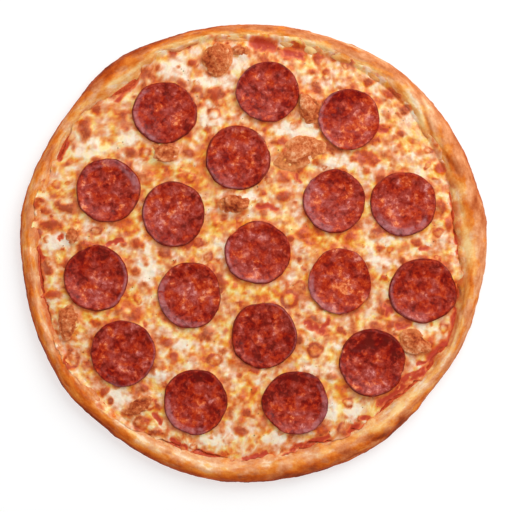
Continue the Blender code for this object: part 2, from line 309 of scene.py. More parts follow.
# %% Signal class
class Signal:
    """An output socket that takes part in arithmetic."""

    def __init__(self, socket):
        self.socket = socket

    def node(self, kind, settings, inputs, output=0):
        """A new node in the same tree: its settings first, a ramp's stops among them, then its sockets."""
        made = self.socket.id_data.nodes.new(kind)
        for key, value in settings.items():
            if key == "stops":
                ramp = made.color_ramp
                while len(ramp.elements) < len(value):
                    ramp.elements.new(0.5)
                for element, (position, colour) in zip(ramp.elements, value):
                    element.position = position
                    element.color = (*colour, 1)
            else:
                setattr(made, key, value)
        for key, value in inputs.items():
            if isinstance(value, Signal):
                made.id_data.links.new(value.socket, made.inputs[key])
            else:
                made.inputs[key].default_value = value
        return Signal(made.outputs[output])

    def math(self, operation, first, second):
        return self.node("ShaderNodeMath", {"operation": operation}, {0: first, 1: second})

    def __add__(self, other):
        return self.math("ADD", self, other)

    def __radd__(self, other):
        return self.math("ADD", other, self)

    def __sub__(self, other):
        return self.math("SUBTRACT", self, other)

    def __rsub__(self, other):
        return self.math("SUBTRACT", other, self)

    def __mul__(self, other):
        return self.math("MULTIPLY", self, other)

    def __rmul__(self, other):
        return self.math("MULTIPLY", other, self)

    def between(self, low, high):
        """0 at low, 1 at high, with a smooth start and end."""
        steps = {0: self, 1: low, 2: high, 3: 0.0, 4: 1.0}
        return self.node("ShaderNodeMapRange", {"interpolation_type": "SMOOTHSTEP"}, steps)

    def blend(self, first, second):
        """The first colour where this signal is 0 and the second where it is 1."""
        first, second = ((*c, 1) if isinstance(c, tuple) else c for c in (first, second))
        settings = {"data_type": "RGBA", "clamp_factor": True}
        return self.node("ShaderNodeMix", settings, {0: self, 6: first, 7: second}, 2)


print("shader arithmetic ready")

# %% [markdown]
# ## Grain
#
# Every food here needs the same three sources: where a point is, noise of a named size in millimetres, and
# the numbers its mesh carries. A bump node turns heights into a bent normal, which is enough for relief
# finer than the mesh. It reads heights in metres, so a bump of a tenth of a millimetre is written as just
# that.

# %% Start of a material
class Finish:
    """A material with a Principled shader, and the sources its expressions start from."""

    def __init__(self, name, **constants):
        self.material = bpy.data.materials.new(name)
        self.material.use_nodes = True
        self.tree = self.material.node_tree
        self.shader = self.tree.nodes["Principled BSDF"]
        for key, value in constants.items():
            self.shader.inputs[key.replace("_", " ")].default_value = value
        self.place = Signal(self.tree.nodes.new("ShaderNodeTexCoord").outputs["Object"])

    def moved_by(self, offset):
        """The place moved by that many metres on each axis, so that two noises of one kind differ."""
        inputs = {0: self.place, 1: (offset,) * 3}
        return self.place.node("ShaderNodeVectorMath", {"operation": "ADD"}, inputs)

    def noise(self, size, detail=2.0, roughness=0.5, distortion=0.0, offset=0.0):
        """Smooth noise of 0 to 1 with features of about that many millimetres."""
        sockets = {"Vector": self.moved_by(offset), "Scale": 1 / (size * METRES), "Detail": detail,
                   "Roughness": roughness, "Distortion": distortion}
        return self.place.node("ShaderNodeTexNoise", {}, sockets)

    def bits(self, size, bend=0.5, offset=0.0):
        """A random number of 0 to 1 for each bit of a coarse mince: cells of about that many millimetres,
        with borders bent by noise."""
        place, scale = self.moved_by(offset), 1 / (size * METRES)
        bent = self.place.node("ShaderNodeTexNoise", {}, {"Vector": place, "Scale": 1.6 * scale}, 1)
        inputs = {0: bent, 1: (bend / scale,) * 3, 2: place}
        moved = self.place.node("ShaderNodeVectorMath", {"operation": "MULTIPLY_ADD"}, inputs)
        cells = self.place.node("ShaderNodeTexVoronoi", {}, {"Vector": moved, "Scale": scale}, 1)
        return self.place.node("ShaderNodeSeparateColor", {}, {0: cells}, 0)

    def carried(self, name):
        """The number that the mesh stores under this name."""
        return self.place.node("ShaderNodeAttribute", {"attribute_name": name}, {}, 2)

    def ramp(self, tone, stops, colours):
        return tone.node("ShaderNodeValToRGB", {"stops": list(zip(stops, colours))}, {0: tone})

    def two_ramps(self, tone, hue, stops, first, second):
        """The tone read through two ramps with the same stops: the first one's colours where the hue is 0,
        the second's where it is 1."""
        return hue.blend(self.ramp(tone, stops, first), self.ramp(tone, stops, second))

    def set(self, colour, roughness, height, bump_millimetres):
        """Links colour and roughness, and the height as a bump of that many millimetres from 0 to 1."""
        for key, value in {"Base Color": colour, "Roughness": roughness}.items():
            self.tree.links.new(value.socket, self.shader.inputs[key])
        bump = {"Strength": 1.0, "Distance": bump_millimetres * METRES, "Height": height}
        normal = self.place.node("ShaderNodeBump", {}, bump)
        self.tree.links.new(normal.socket, self.shader.inputs["Normal"])
        return self.material


print("finishes ready")

# %% [markdown]
# ## Crust
#
# The rim is bread: it rises where nothing weighs on it, skins over, and browns most where it faces the
# oven's floor and walls. It could be a torus with a displacement texture, but a torus has no flat base and
# no foot for the toppings. A turned profile has both. Its rings are stretched to the lobed outline, then
# pushed along the way out from the heart of the rim by bubbles, tangential stretch marks and a fine grain.

# %% Crust relief
CRUST_COLUMNS = 780
CRUST_MIDDLE = 6
CRUST_STEPS = 6
UNDER_RINGS = 14
RIM_HEART = (LIP_RADIUS + 5.5, 7.0)
# Domes: (seed, count, shares of the way over the rim, sizes, heights).
BUBBLES = (5, 190, (0.12, 0.75), (1.6, 5.0), (0.15, 0.55))
KNUCKLES = (6, 90, (0.04, 0.24), (3.0, 6.5), (0.3, 1.3))
PIMPLES = (8, 520, (0.20, 0.92), (0.6, 1.5), (0.08, 0.22))
# Folds in the dough: (angle, half width, share of the way over the rim, spread, depth, slant).
CREASES = (
    (37, 5, 0.30, 0.030, 0.9, 1.2), (25, 4, 0.30, 0.030, 0.8, -0.6), (12, 3, 0.42, 0.035, 0.6, 1.0),
    (304, 3, 0.45, 0.06, 0.9, 1.5), (311, 2.2, 0.50, 0.07, 0.8, -1.5), (318, 2.0, 0.40, 0.08, 0.6, 1.0),
    (126, 3, 0.35, 0.06, 0.6, 1.0), (152, 4, 0.30, 0.05, 0.6, -0.8), (205, 5, 0.24, 0.04, 0.7, 0.5),
)


def stretched(angle, radius, z):
    """Moves the plain turned crust to the lobed lip, outline and crest, as the solid's points are moved."""
    lip = on_lobes(angle, LIP_RADIUS, LIP_LOBES)
    rim = on_lobes(angle, RIM_RADIUS, RIM_LOBES)
    inside = radius * lip / LIP_RADIUS
    outside = lip + (radius - LIP_RADIUS) * (rim - lip) / (RIM_RADIUS - LIP_RADIUS)
    crest = on_lobes(angle, 0.0, CREST_LOBES)
    for waves, height, phase in RIPPLES:
        crest += height * np.sin(waves * angle + phase)
    climb = np.clip((z - FLOOR_TOP) / (RIM_HEIGHT - FLOOR_TOP), 0, 1)
    return np.where(radius < LIP_RADIUS, inside, outside), z + crest * climb**2


def bubbles(angle, along, length, seed, count, shares, sizes, rises):
    """Low domes of dough, each 1 - d2 across its own radius, strewn over a part of the way over the rim."""
    draw = np.random.default_rng(seed)
    height = np.zeros_like(angle)
    for _ in range(count):
        where, share = draw.uniform(-np.pi, np.pi), draw.uniform(*shares)
        size, rise = draw.uniform(*sizes), draw.uniform(*rises)
        across = turn_from(where, angle) * RIM_RADIUS / (1.5 * size)
        up = (along - share) * length / size
        height += rise * np.clip(1 - across**2 - up**2, 0, 1) ** 1.5
    return height


def spots(angle, along, rows):
    """The sum of the rows' places on the rim: each a bell curve round the rim and across it, some
    aslant."""
    sum_of_all = np.zeros_like(angle)
    for where, half_width, share, spread, high, *slant in rows:
        away = turn_from(np.radians(where), angle)
        off = (along - share - (slant[0] if slant else 0) * away) / spread
        sum_of_all += high * np.exp(-0.5 * (away / np.radians(half_width)) ** 2 - 0.5 * off**2)
    return sum_of_all


lip = LIP_RADIUS
RIM_PROFILE = (
    (lip - 4.4, FLOOR_TOP), (lip - 1.6, 8.6), (lip + 1.2, 12.0), (lip + 3.4, 14.5), (lip + 5.8, RIM_HEIGHT),
    (lip + 8.4, 14.9), (lip + 10.6, 12.6), (lip + 11.9, 9.6), (RIM_RADIUS, 6.8), (lip + 11.4, 4.0),
    (lip + 9.5, 1.7), (lip + 6.6, 0.4), (lip + 3.8, 0),
)
rim_curve = rounded(RIM_PROFILE, CRUST_STEPS)
rim_length = np.linalg.norm(np.diff(rim_curve, axis=0), axis=1).sum()
print("the rim's skin is", round(rim_length, 1), "mm from foot to base")

# %% Crust mesh
under_radii = np.linspace(rim_curve[-1, 0], CRUST_MIDDLE, UNDER_RINGS)[1:]
under_curve = np.stack([under_radii, 0 * under_radii], axis=1)
crust_curve = np.vstack([[CRUST_MIDDLE, FLOOR_TOP], rim_curve, under_curve])
crust_angle, radius, z = turned(crust_curve, CRUST_COLUMNS)
travelled = np.concatenate([[0], np.linalg.norm(np.diff(rim_curve, axis=0), axis=1).cumsum()]) / rim_length
along = np.concatenate([[0], travelled, np.ones(len(under_radii))])[:, None] + 0 * crust_angle


def skin_noise(around, across, seed, octaves):
    """Noise with that many cells round the crust and across its skin."""
    return clouds(crust_angle / (2 * np.pi) * around, along * across, seed, octaves, around)


on_rim = smooth_step(along / 0.08) * smooth_step((0.93 - along) / 0.10)
marks, grain = skin_noise(90, 11, 31, 3), skin_noise(420, 26, 44, 2)
domes = sum(bubbles(crust_angle, along, rim_length, *rows) for rows in (BUBBLES, KNUCKLES, PIMPLES))
folds = spots(crust_angle, along, CREASES)
push = domes + 0.40 * marks + 0.12 * grain - folds
out = np.stack([radius - RIM_HEART[0], z - RIM_HEART[1]])
out /= np.maximum(np.linalg.norm(out, axis=0), 1)
lobed_radius, lobed_z = stretched(crust_angle, radius, z)
lobed_radius = lobed_radius + out[0] * push * on_rim
lobed_z = np.maximum(lobed_z + out[1] * push * on_rim, 0)
crust_points = round_points(crust_angle, lobed_radius, lobed_z)
print("crust rings:", crust_points.shape[0], "of", CRUST_COLUMNS, "points")

# %% [markdown]
# ### Crust finish
#
# Bread browns in layers: straw yellow where the slope was sheltered by the toppings, orange on the crest,
# and chestnut on the outer wall. The mesh carries how far each point has browned, worked out from its place
# across the rim, from which side of the oven it faced, and from noise, with painted shade added in the folds
# of the dough. A ramp turns that into colour, so one number drives everything, and the fine noise only
# breaks up its steps.

# %% Crust browning
# From pale 0 to dark 1, on the way from the rim's foot (0) past the lip (0.16), over the crest (0.37) and the
# outermost line (0.68) to the base (1).
RIM_TONES = (
    (0, 0.35), (0.16, 0.27), (0.26, 0.25), (0.32, 0.34), (0.375, 0.42), (0.424, 0.50), (0.49, 0.58),
    (0.573, 0.70), (0.62, 0.78), (0.67, 0.88), (0.73, 0.68), (0.80, 0.48), (1, 0.36),
)
# Sides that baked paler or darker: (angle, half width, change inside the crest, change outside it).
BAKED_SIDES = (
    (0, 28, -0.10, -0.17), (45, 20, -0.04, -0.04), (80, 18, -0.28, -0.03), (108, 10, -0.16, -0.02),
    (125, 9, -0.08, 0.14), (146, 12, -0.05, -0.06), (170, 12, -0.07, -0.10), (200, 14, 0.02, 0.01),
    (225, 10, 0.05, 0.06), (252, 16, -0.06, 0.06), (285, 14, -0.02, 0.14), (315, 12, -0.14, -0.08),
)
# Pale and toasted patches: (angle, half width, share of the way over the rim, spread, change).
BAKED_PATCHES = (
    (2, 4, 0.26, 0.05, -0.12), (11, 2.5, 0.38, 0.05, 0.15), (10, 3, 0.60, 0.06, 0.20),
    (20, 5, 0.28, 0.05, 0.11), (25, 4, 0.36, 0.08, 0.08), (35, 1.5, 0.43, 0.05, 0.12),
    (38, 4, 0.30, 0.06, -0.10), (42, 4, 0.40, 0.08, -0.25), (50, 4, 0.25, 0.06, 0.25),
    (57, 4, 0.27, 0.05, -0.10), (60, 5, 0.38, 0.04, 0.10), (64, 3, 0.22, 0.04, 0.15),
    (76, 6, 0.24, 0.06, -0.12), (88, 5, 0.20, 0.05, 0.15), (104, 5, 0.25, 0.05, -0.08),
    (116, 5, 0.25, 0.06, 0.15), (121, 3, 0.45, 0.08, 0.12), (127, 4, 0.27, 0.05, -0.15),
    (134, 3, 0.27, 0.05, 0.12), (155, 3, 0.35, 0.07, 0.15), (163, 4, 0.38, 0.06, -0.08),
    (172, 5, 0.28, 0.08, 0.12), (182, 4, 0.27, 0.05, -0.12), (190, 3, 0.38, 0.08, 0.14),
    (203, 5, 0.26, 0.05, -0.14), (215, 5, 0.33, 0.05, 0.12), (222, 5, 0.30, 0.05, 0.08),
    (232, 5, 0.28, 0.05, -0.20), (240, 3, 0.26, 0.05, -0.12), (255, 8, 0.28, 0.05, -0.12),
    (266, 4, 0.28, 0.05, 0.12), (275, 4, 0.25, 0.05, -0.14), (280, 2.5, 0.27, 0.04, 0.08),
    (286, 4, 0.26, 0.04, -0.12), (295, 3, 0.27, 0.04, 0.15), (303, 4, 0.29, 0.05, -0.16),
    (310, 3, 0.27, 0.06, 0.08), (316, 4, 0.30, 0.07, -0.12), (336, 4, 0.27, 0.05, -0.08),
    (338, 3, 0.43, 0.05, 0.12), (347, 4, 0.30, 0.08, 0.14), (352, 2, 0.31, 0.04, 0.20),
    (355, 2, 0.27, 0.04, 0.20), (66, 10, 0.62, 0.07, -0.40), (90, 8, 0.62, 0.06, -0.12),
    (46, 8, 0.62, 0.06, -0.06), (355, 14, 0.62, 0.06, -0.18), (21, 6, 0.62, 0.05, 0.16),
    (109, 7, 0.62, 0.05, 0.16), (198, 30, 0.62, 0.05, 0.12), (226, 9, 0.60, 0.06, 0.14),
    (125, 6, 0.32, 0.05, -0.12), (198, 12, 0.08, 0.05, 0.15), (226, 9, 0.08, 0.05, 0.12),
    (285, 12, 0.33, 0.05, 0.10), (170, 9, 0.30, 0.07, 0.10), (80, 16, 0.37, 0.05, 0.09),
    (20, 10, 0.37, 0.04, 0.05),
)
# Where sauce stained the lip: (angle, half width, strength).
STAINED = (
    (350, 18, 1.0), (19, 9, 1.0), (60, 8, 0.4), (85, 12, 0.15), (108, 8, 0.8), (165, 10, 0.3),
    (196, 13, 0.9), (226, 9, 0.9), (282, 12, 0.6),
)
# Sides that baked pinker or more golden, as BAKED_SIDES.
GOLDEN_SIDES = (
    (0, 30, 0.85, -0.75), (48, 18, 0.15, -0.60), (80, 18, 0.75, -0.45), (112, 18, 0.65, 0.15),
    (190, 20, -0.3, 0.2), (226, 9, 0.1, 0.8), (250, 36, -0.35, 0.60), (315, 14, 0.3, -0.2),
)
CRUST_STOPS = (0.0, 0.07, 0.19, 0.31, 0.43, 0.64, 0.80, 1.0)
DOUGH = (
    (0.96, 0.77, 0.54), (0.94, 0.71, 0.48), (0.86, 0.485, 0.25), (0.79, 0.35, 0.16), (0.70, 0.25, 0.092),
    (0.53, 0.125, 0.032), (0.37, 0.062, 0.014), (0.20, 0.028, 0.007),
)
GOLD = (
    (0.95, 0.65, 0.29), (0.94, 0.585, 0.235), (0.905, 0.445, 0.13), (0.84, 0.32, 0.070),
    (0.78, 0.225, 0.030), (0.61, 0.110, 0.008), (0.45, 0.060, 0.004), (0.24, 0.028, 0.003),
)

wavy = along + 0.055 * skin_noise(34, 4, 61, 3)
wavy += 0.020 * skin_noise(120, 8, 65, 2)
outside = smooth_step((wavy - 0.26) / 0.20)


def by_side(rows):
    """The change that the rows give, faded from the one inside the crest to the one outside it."""
    inner, outer = (on_lobes(crust_angle, 0.0, [(*row[:2], row[k]) for row in rows]) for k in (2, 3))
    return inner * (1 - outside) + outer * outside


browned = np.interp(wavy, *zip(*RIM_TONES)) + by_side(BAKED_SIDES)
browned += 1.1 * spots(crust_angle, wavy, BAKED_PATCHES) + 0.14 * skin_noise(80, 7, 62, 4)
# Folds are painted darker: painted shade in the creases of the dough.
browned += 0.10 * marks + 0.08 * grain + 0.09 * domes + 0.35 * folds
golden = 0.5 + 1.4 * skin_noise(80, 7, 63, 4) + by_side(GOLDEN_SIDES)
stain = smooth_step((0.28 - wavy) / 0.12) * np.clip(on_lobes(crust_angle, 0.0, STAINED), 0, 1)
stain *= smooth_step(2.4 * skin_noise(100, 5, 69, 2) + 0.7)
smear = smooth_step((0.32 - along) / 0.16) * smooth_step(2.6 * skin_noise(80, 9, 67, 3) + 0.2)
underside = smooth_step((along - 0.86) / 0.1)


def crust_finish():
    finish = Finish("baked_crust", Specular_IOR_Level=0.06)
    fine, pores = finish.noise(1.1, 4, 0.65), finish.noise(0.35, 2, 0.6)
    mottle, tint = finish.noise(5, 3, 0.6, 0.6), finish.noise(3.2, 4, 0.65, 0.5, offset=4.0)
    tone = finish.carried("browned") + (fine - 0.5) * 0.26 + (mottle - 0.5) * 0.26
    colour = finish.two_ramps(tone, finish.carried("golden") + (tint - 0.5) * 2.2, CRUST_STOPS, DOUGH, GOLD)
    flour = (finish.noise(2.6, 5, 0.7, offset=3.0).between(0.60, 0.74)) * 0.25 * finish.carried("under")
    colour = flour.blend(colour, (0.80, 0.66, 0.50))
    greasy = tint.between(0.42, 0.58).blend((0.96, 0.62, 0.29), (0.80, 0.28, 0.080))
    colour = (finish.carried("smear") * 0.6).blend(colour, greasy)
    colour = (finish.carried("stain") * (0.5 + tint * 0.5)).blend(colour, (0.66, 0.120, 0.030))
    return finish.set(colour, 0.52 + pores * 0.2, fine * 0.7 + pores * 0.3, 0.35)


crust = turned_piece("crust_baked", crust_points, crust_finish(), "crust")
carry(crust, browned=[*browned.ravel(), 0.3, 0.6], golden=[*golden.ravel(), 0.5, 0.5],
      under=[*underside.ravel(), 0, 1], smear=[*smear.ravel(), 0, 0], stain=[*stain.ravel(), 0, 0])
print("crust:", len(crust.data.polygons), "faces")

# %% [markdown]
# ## Sauce
#
# The sauce is a thin wet layer between dough and cheese. It only shows where the cheese stops short of the
# rim, so its edge is what matters: there it creeps a little up the foot of the rim. Rings again, with the
# outer ones lifted along the slope. A flat disc would do below the cheese, but its edge would look cut.

# %% Sauce mesh and finish
SAUCE_COLUMNS = 480
SAUCE_HIDDEN = 3.0
SAUCE_MIDDLE = 20
SAUCE_PROFILE = (
    (SAUCE_MIDDLE, SAUCE_TOP), (90, SAUCE_TOP), (LIP_RADIUS - 7, SAUCE_TOP),
    (LIP_RADIUS - 3.2, SAUCE_TOP + 0.25), (LIP_RADIUS - 1.7, SAUCE_TOP + 1.15),
    (LIP_RADIUS - 1.4, SAUCE_TOP + 1.0),
)


def sauce_points():
    """Rings of the profile and of its flat underside, lumpy above by a tenth or two of a millimetre. Where
    no sauce shows, the outer rings are drawn in under the cheese."""
    under = FLOOR_TOP + GAP
    curve = np.vstack([rounded(SAUCE_PROFILE, 5), [[LIP_RADIUS - 4.7, under], [SAUCE_MIDDLE, under]]])
    angle, radius, z = turned(curve, SAUCE_COLUMNS)
    radius, z = stretched(angle, radius, z)
    shown = smooth_step(on_lobes(angle, 0.0, SAUCE_SHOWS) / 1.2)
    radius = radius - SAUCE_HIDDEN * (1 - shown) * smooth_step((radius - 120) / 10)
    pulp = 0.22 * clouds(angle / (2 * np.pi) * 150, radius / 6, 71, 3, 150)
    return round_points(angle, radius, z + np.where(z > SAUCE_TOP - 0.1, pulp, 0))


def sauce_finish():
    finish = Finish("tomato_sauce", Specular_IOR_Level=0.2, Coat_Weight=0.12, Coat_Roughness=0.2)
    pulp, fine = finish.noise(2.4, 4, 0.6), finish.noise(0.7, 2, 0.6)
    colour = pulp.between(0.3, 0.7).blend((0.50, 0.040, 0.010), (0.74, 0.120, 0.032))
    return finish.set(colour, 0.25 + fine * 0.2, pulp * 0.6 + fine * 0.4, 0.4)


sauce = turned_piece("sauce_spread", sauce_points(), sauce_finish(), "tomato_sauce")
print("sauce:", len(sauce.data.polygons), "faces")

# %% [markdown]
# ## Slices: where they lie
#
# A pepperoni slice cups as its casing shrinks. The middle stays pressed into the cheese and the edge lifts.
# The cheese has to know each slice before it is shaped, because it lies flat below the middle and laps up
# to the lifted edge. So the slices' places, leans and curls are drawn first.

# %% Seats
SEAT_STEP = 4.0


def swell_height(x, y):
    """The slow rise and fall of the molten cheese: four crossing sine waves."""
    height = np.zeros_like(x)
    for waves, heading, size, phase in SWELLS:
        way = x * np.cos(np.radians(heading)) + y * np.sin(np.radians(heading))
        height += size * np.sin(2 * np.pi * waves * way / (2 * LIP_RADIUS) + phase)
    return height


def seat_plane(x, y, middle_x, middle_y):
    """The plane that touches the swells under a slice's middle."""
    near = swell_height(middle_x + np.array([0, SEAT_STEP, 0]), middle_y + np.array([0, 0, SEAT_STEP]))
    lean_x, lean_y = (near[1:] - near[0]) / SEAT_STEP
    return CHEESE_TOP + near[0] + lean_x * (x - middle_x) + lean_y * (y - middle_y)


class Slice:
    """One slice's place and its own curl, wobble and twist."""

    def __init__(self, number, row):
        angle, distance, self.width, self.depth = row
        self.number = number
        self.x, self.y = polar(angle, distance)
        draw = np.random.default_rng(SLICE_SEED + number)
        self.curl = draw.uniform(*SLICE_CURLS)
        self.phase, self.second = draw.uniform(0, 2 * np.pi, 2)

    def wobble(self, angle):
        """The outline's radius as a share of a true circle's."""
        return 1 + 0.010 * np.cos(3 * angle + self.phase) + 0.008 * np.cos(5 * angle + self.second)

    def share(self, x, y):
        """0 at the slice's middle and 1 on its outline."""
        across, up = (x - self.x) * 2 / self.width, (y - self.y) * 2 / self.depth
        return np.hypot(across, up) / self.wobble(np.arctan2(up, across))

    def seat(self, x, y):
        return seat_plane(x, y, self.x, self.y)


slices = [Slice(number, row) for number, row in enumerate(PEPPERONI, 1)]
curls = [one.curl for one in slices]
print("slices curl by", round(min(curls), 2), "to", round(max(curls), 2), "mm")

# %% [markdown]
# ## Cheese
#
# Mozzarella melts into one sheet that bubbles. Each bubble's thin top toasts, the flanks stay cream, and
# between them fat and sauce stain the low places yellow, orange and red. The sheet is a height over the
# plane, so the mesh is a square grid drawn out to a disc. A grid of rings would crowd its points in the
# middle and starve the edge.
#
# The larger marks are placed where the photograph shows them, in its own pixels, and the many small ones
# are strewn by the golden angle, which never leaves gaps or rows.

# %% Places read off the photograph
PIXEL = 0.657
PHOTO_MIDDLE = (253.2, 253.0)
# Toasted blisters: (x, y, width, height, depth of toast), a negative depth for a ring with a pale heart.
TOASTED = (
    (145, 72, 20, 15, 0.6), (172, 53, 12, 8, 0.8), (187, 46, 9, 6, 0.7), (192, 62, 12, 9, 0.6),
    (84, 130, 14, 24, 0.8), (95, 108, 13, 15, 0.8), (122, 120, 13, 22, 0.5), (130, 152, 15, 10, 0.7),
    (67, 208, 24, 13, 0.7), (48, 224, 22, 12, 0.8), (95, 231, 12, 8, -0.7), (214, 93, 26, 16, 0.75),
    (196, 88, 14, 10, 0.6), (213, 113, 14, 12, -0.7), (189, 152, 12, 12, 0.6), (137, 243, 20, 14, 0.7),
    (145, 262, 11, 9, 0.6), (317, 57, 10, 14, 0.9), (334, 57, 11, 8, 0.8), (347, 62, 14, 9, 0.7),
    (326, 71, 10, 8, 0.7), (316, 86, 13, 22, 0.5), (369, 81, 12, 9, 1.0), (394, 92, 22, 13, 0.8),
    (406, 109, 13, 12, 0.8), (401, 133, 11, 8, 0.7), (438, 126, 13, 11, 0.7), (388, 154, 14, 12, 0.5),
    (441, 168, 13, 15, 0.8), (283, 175, 20, 16, 0.5), (283, 196, 16, 13, 0.85), (263, 193, 9, 8, 0.6),
    (449, 222, 10, 15, 0.9), (416, 243, 13, 10, 0.7), (379, 248, 13, 9, 0.6), (47, 270, 14, 11, 0.8),
    (51, 295, 19, 10, 0.8), (71, 359, 15, 19, -0.7), (167, 343, 13, 9, 0.9), (172, 357, 13, 12, 0.7),
    (214, 360, 17, 12, -0.7), (206, 334, 18, 14, 0.6), (121, 313, 15, 13, 0.5), (104, 392, 13, 11, 0.7),
    (140, 424, 14, 16, -0.7), (246, 413, 12, 10, 0.8), (241, 431, 17, 11, 0.8), (289, 299, 17, 18, -1.0),
    (315, 350, 16, 15, -0.9), (300, 339, 10, 10, 0.7), (332, 376, 13, 10, 0.6), (385, 309, 18, 16, 0.6),
    (376, 326, 18, 12, 0.6), (431, 341, 14, 12, 0.6), (341, 331, 13, 8, 0.6), (346, 433, 13, 10, 0.6),
    (155, 433, 20, 9, 0.8), (110, 401, 7, 10, 0.9), (210, 418, 14, 9, 0.4), (395, 205, 10, 10, 0.5),
    (280, 141, 20, 11, 0.5), (333, 147, 26, 13, 0.55), (301, 170, 17, 16, 0.55), (320, 161, 16, 12, 0.5),
    (34, 206, 12, 8, 0.9), (44, 211, 12, 9, 0.8), (57, 204, 10, 8, 0.7), (33, 219, 12, 8, 0.7),
    (55, 184, 9, 8, -0.7), (290, 238, 8, 8, 1.0), (312, 318, 12, 8, 0.9), (39, 200, 12, 7, 0.8),
    (37, 232, 10, 10, 0.8),
)
# Milky patches of thick cheese: (x, y, width, height).
MILKY = (
    (90, 150, 44, 14), (146, 268, 22, 32), (214, 80, 40, 10), (300, 129, 44, 14), (338, 163, 44, 12),
    (54, 241, 26, 16), (128, 136, 22, 20), (170, 68, 34, 20), (240, 62, 16, 22), (245, 198, 22, 10),
    (385, 240, 24, 10), (378, 262, 22, 12), (424, 326, 20, 10), (330, 412, 22, 22), (215, 441, 34, 12),
    (120, 396, 26, 14), (186, 345, 24, 14), (275, 437, 22, 12), (420, 178, 16, 22), (352, 408, 18, 16),
    (210, 120, 22, 16), (228, 246, 18, 14), (306, 372, 22, 12), (100, 262, 12, 8), (160, 375, 24, 10),
)
# Yellow and orange pools of fat: (x, y, width, height, redness).
OILY = (
    (366, 158, 27, 14, 0.8), (350, 236, 24, 20, 0.2), (95, 322, 12, 8, 0.9), (128, 227, 22, 18, 0.4),
    (234, 287, 22, 26, 0.0), (268, 292, 26, 12, 0.1), (104, 142, 12, 16, 0.0), (411, 144, 22, 14, 0.2),
    (250, 395, 20, 20, 0.2), (215, 228, 16, 16, 0.0), (340, 392, 14, 30, 0.1), (120, 300, 26, 18, 0.3),
    (186, 243, 40, 8, 0.8), (240, 130, 26, 10, 0.1), (312, 236, 30, 18, 0.4), (160, 170, 30, 14, 0.3),
    (272, 268, 20, 16, 0.4), (352, 300, 26, 20, 0.2), (405, 322, 16, 9, 0.9), (195, 175, 24, 20, 0.1),
    (292, 51, 26, 13, 0.7), (395, 325, 20, 9, 0.6),
)
# Sauce that broke through: (x, y) from, (x, y) to, and its width.
SAUCY = (
    (256, 42, 271, 45, 13), (286, 51, 300, 54, 9), (138, 68, 118, 99, 6), (66, 142, 59, 158, 5),
    (36, 250, 40, 258, 7), (60, 236, 60, 237, 6), (38, 268, 47, 325, 4), (456, 182, 459, 250, 6),
    (458, 296, 452, 336, 6), (446, 344, 430, 357, 9), (441, 364, 412, 379, 6), (404, 386, 379, 403, 7),
    (362, 418, 376, 421, 5), (352, 430, 357, 426, 8), (328, 438, 292, 449, 7), (266, 454, 243, 459, 5),
    (200, 454, 214, 457, 6), (172, 440, 186, 449, 5), (307, 323, 323, 331, 9), (321, 330, 329, 320, 5),
    (258, 205, 276, 208, 6), (155, 415, 160, 421, 7), (386, 306, 392, 311, 7), (120, 240, 97, 247, 5),
    (366, 124, 386, 130, 7), (422, 247, 428, 248, 5), (296, 175, 300, 182, 4), (30, 240, 36, 236, 5),
    (397, 327, 406, 325, 7), (386, 314, 391, 308, 6), (432, 357, 444, 345, 8), (418, 364, 432, 361, 4),
    (417, 372, 434, 366, 4), (402, 379, 413, 375, 7), (396, 385, 404, 382, 4), (385, 398, 396, 404, 5),
)


def from_photo(x, y):
    """Millimetres from the middle of the circle, of a place in the photograph's pixels."""
    return (x - PHOTO_MIDDLE[0]) * PIXEL + MIDDLE[0], (PHOTO_MIDDLE[1] - y) * PIXEL + MIDDLE[1]


print("blisters, patches, pools and streaks:", len(TOASTED), len(MILKY), len(OILY), len(SAUCY))

# %% Grid of the cheese
CHEESE_CELLS = 300
HEM_TUCK = 1.5
LIP_SETBACK = 1.7
# Where the topping runs up the rim: (angle, half width, millimetres).
CREEPS = (
    (20, 5, 2.5), (50, 14, 3.5), (84, 9, 3.2), (104, 7, 1.5), (139, 4, 2.0), (170, 7, 5.0), (204, 6, 2.0),
    (222, 7, 3.5), (318, 5, 1.5),
)


def cheese_edge(angle):
    """How far out the cheese reaches: to the lip, and short of it where the sauce shows."""
    lip = on_lobes(angle, LIP_RADIUS, LIP_LOBES) * (1 - LIP_SETBACK / LIP_RADIUS)
    return lip - on_lobes(angle, 0.0, SAUCE_SHOWS)


def crust_height(angle, radius):
    """Height of the crust's inner slope: the plain profile read at the radius that the stretch came
    from."""
    lip, rim = on_lobes(angle, LIP_RADIUS, LIP_LOBES), on_lobes(angle, RIM_RADIUS, RIM_LOBES)
    beyond = LIP_RADIUS + (radius - lip) * (RIM_RADIUS - LIP_RADIUS) / (rim - lip)
    plain = np.where(radius < lip, radius * LIP_RADIUS / lip, beyond)
    rising = rim_curve[:int(np.argmax(rim_curve[:, 1]))]
    return stretched(angle, plain, np.interp(plain, rising[:, 0], rising[:, 1]))[1]


side_steps = np.linspace(-1, 1, CHEESE_CELLS + 1)
grid_u, grid_v = np.meshgrid(side_steps, side_steps)
disc_x, disc_y = grid_u * np.sqrt(1 - grid_v**2 / 2), grid_v * np.sqrt(1 - grid_u**2 / 2)
cheese_angle = np.arctan2(disc_y, disc_x)
cheese_gap = on_lobes(cheese_angle, 0.0, SAUCE_SHOWS)


def edge_noise(around, seed, octaves, row=0.5):
    """Noise with that many cells round the sheet's edge, the same from the middle out."""
    cells = cheese_angle / (2 * np.pi) * around
    return clouds(cells, 0 * cells + row, seed, octaves, around)


def sheet_noise(size, seed, octaves=3):
    """Noise on the sheet with cells of that many millimetres."""
    return clouds(X / size, Y / size, seed, octaves)


creep = 3.0 * smooth_step(edge_noise(40, 85, 2) + 0.55) + on_lobes(cheese_angle, 0.0, CREEPS)
creep *= 1 - smooth_step(cheese_gap / 1.5)
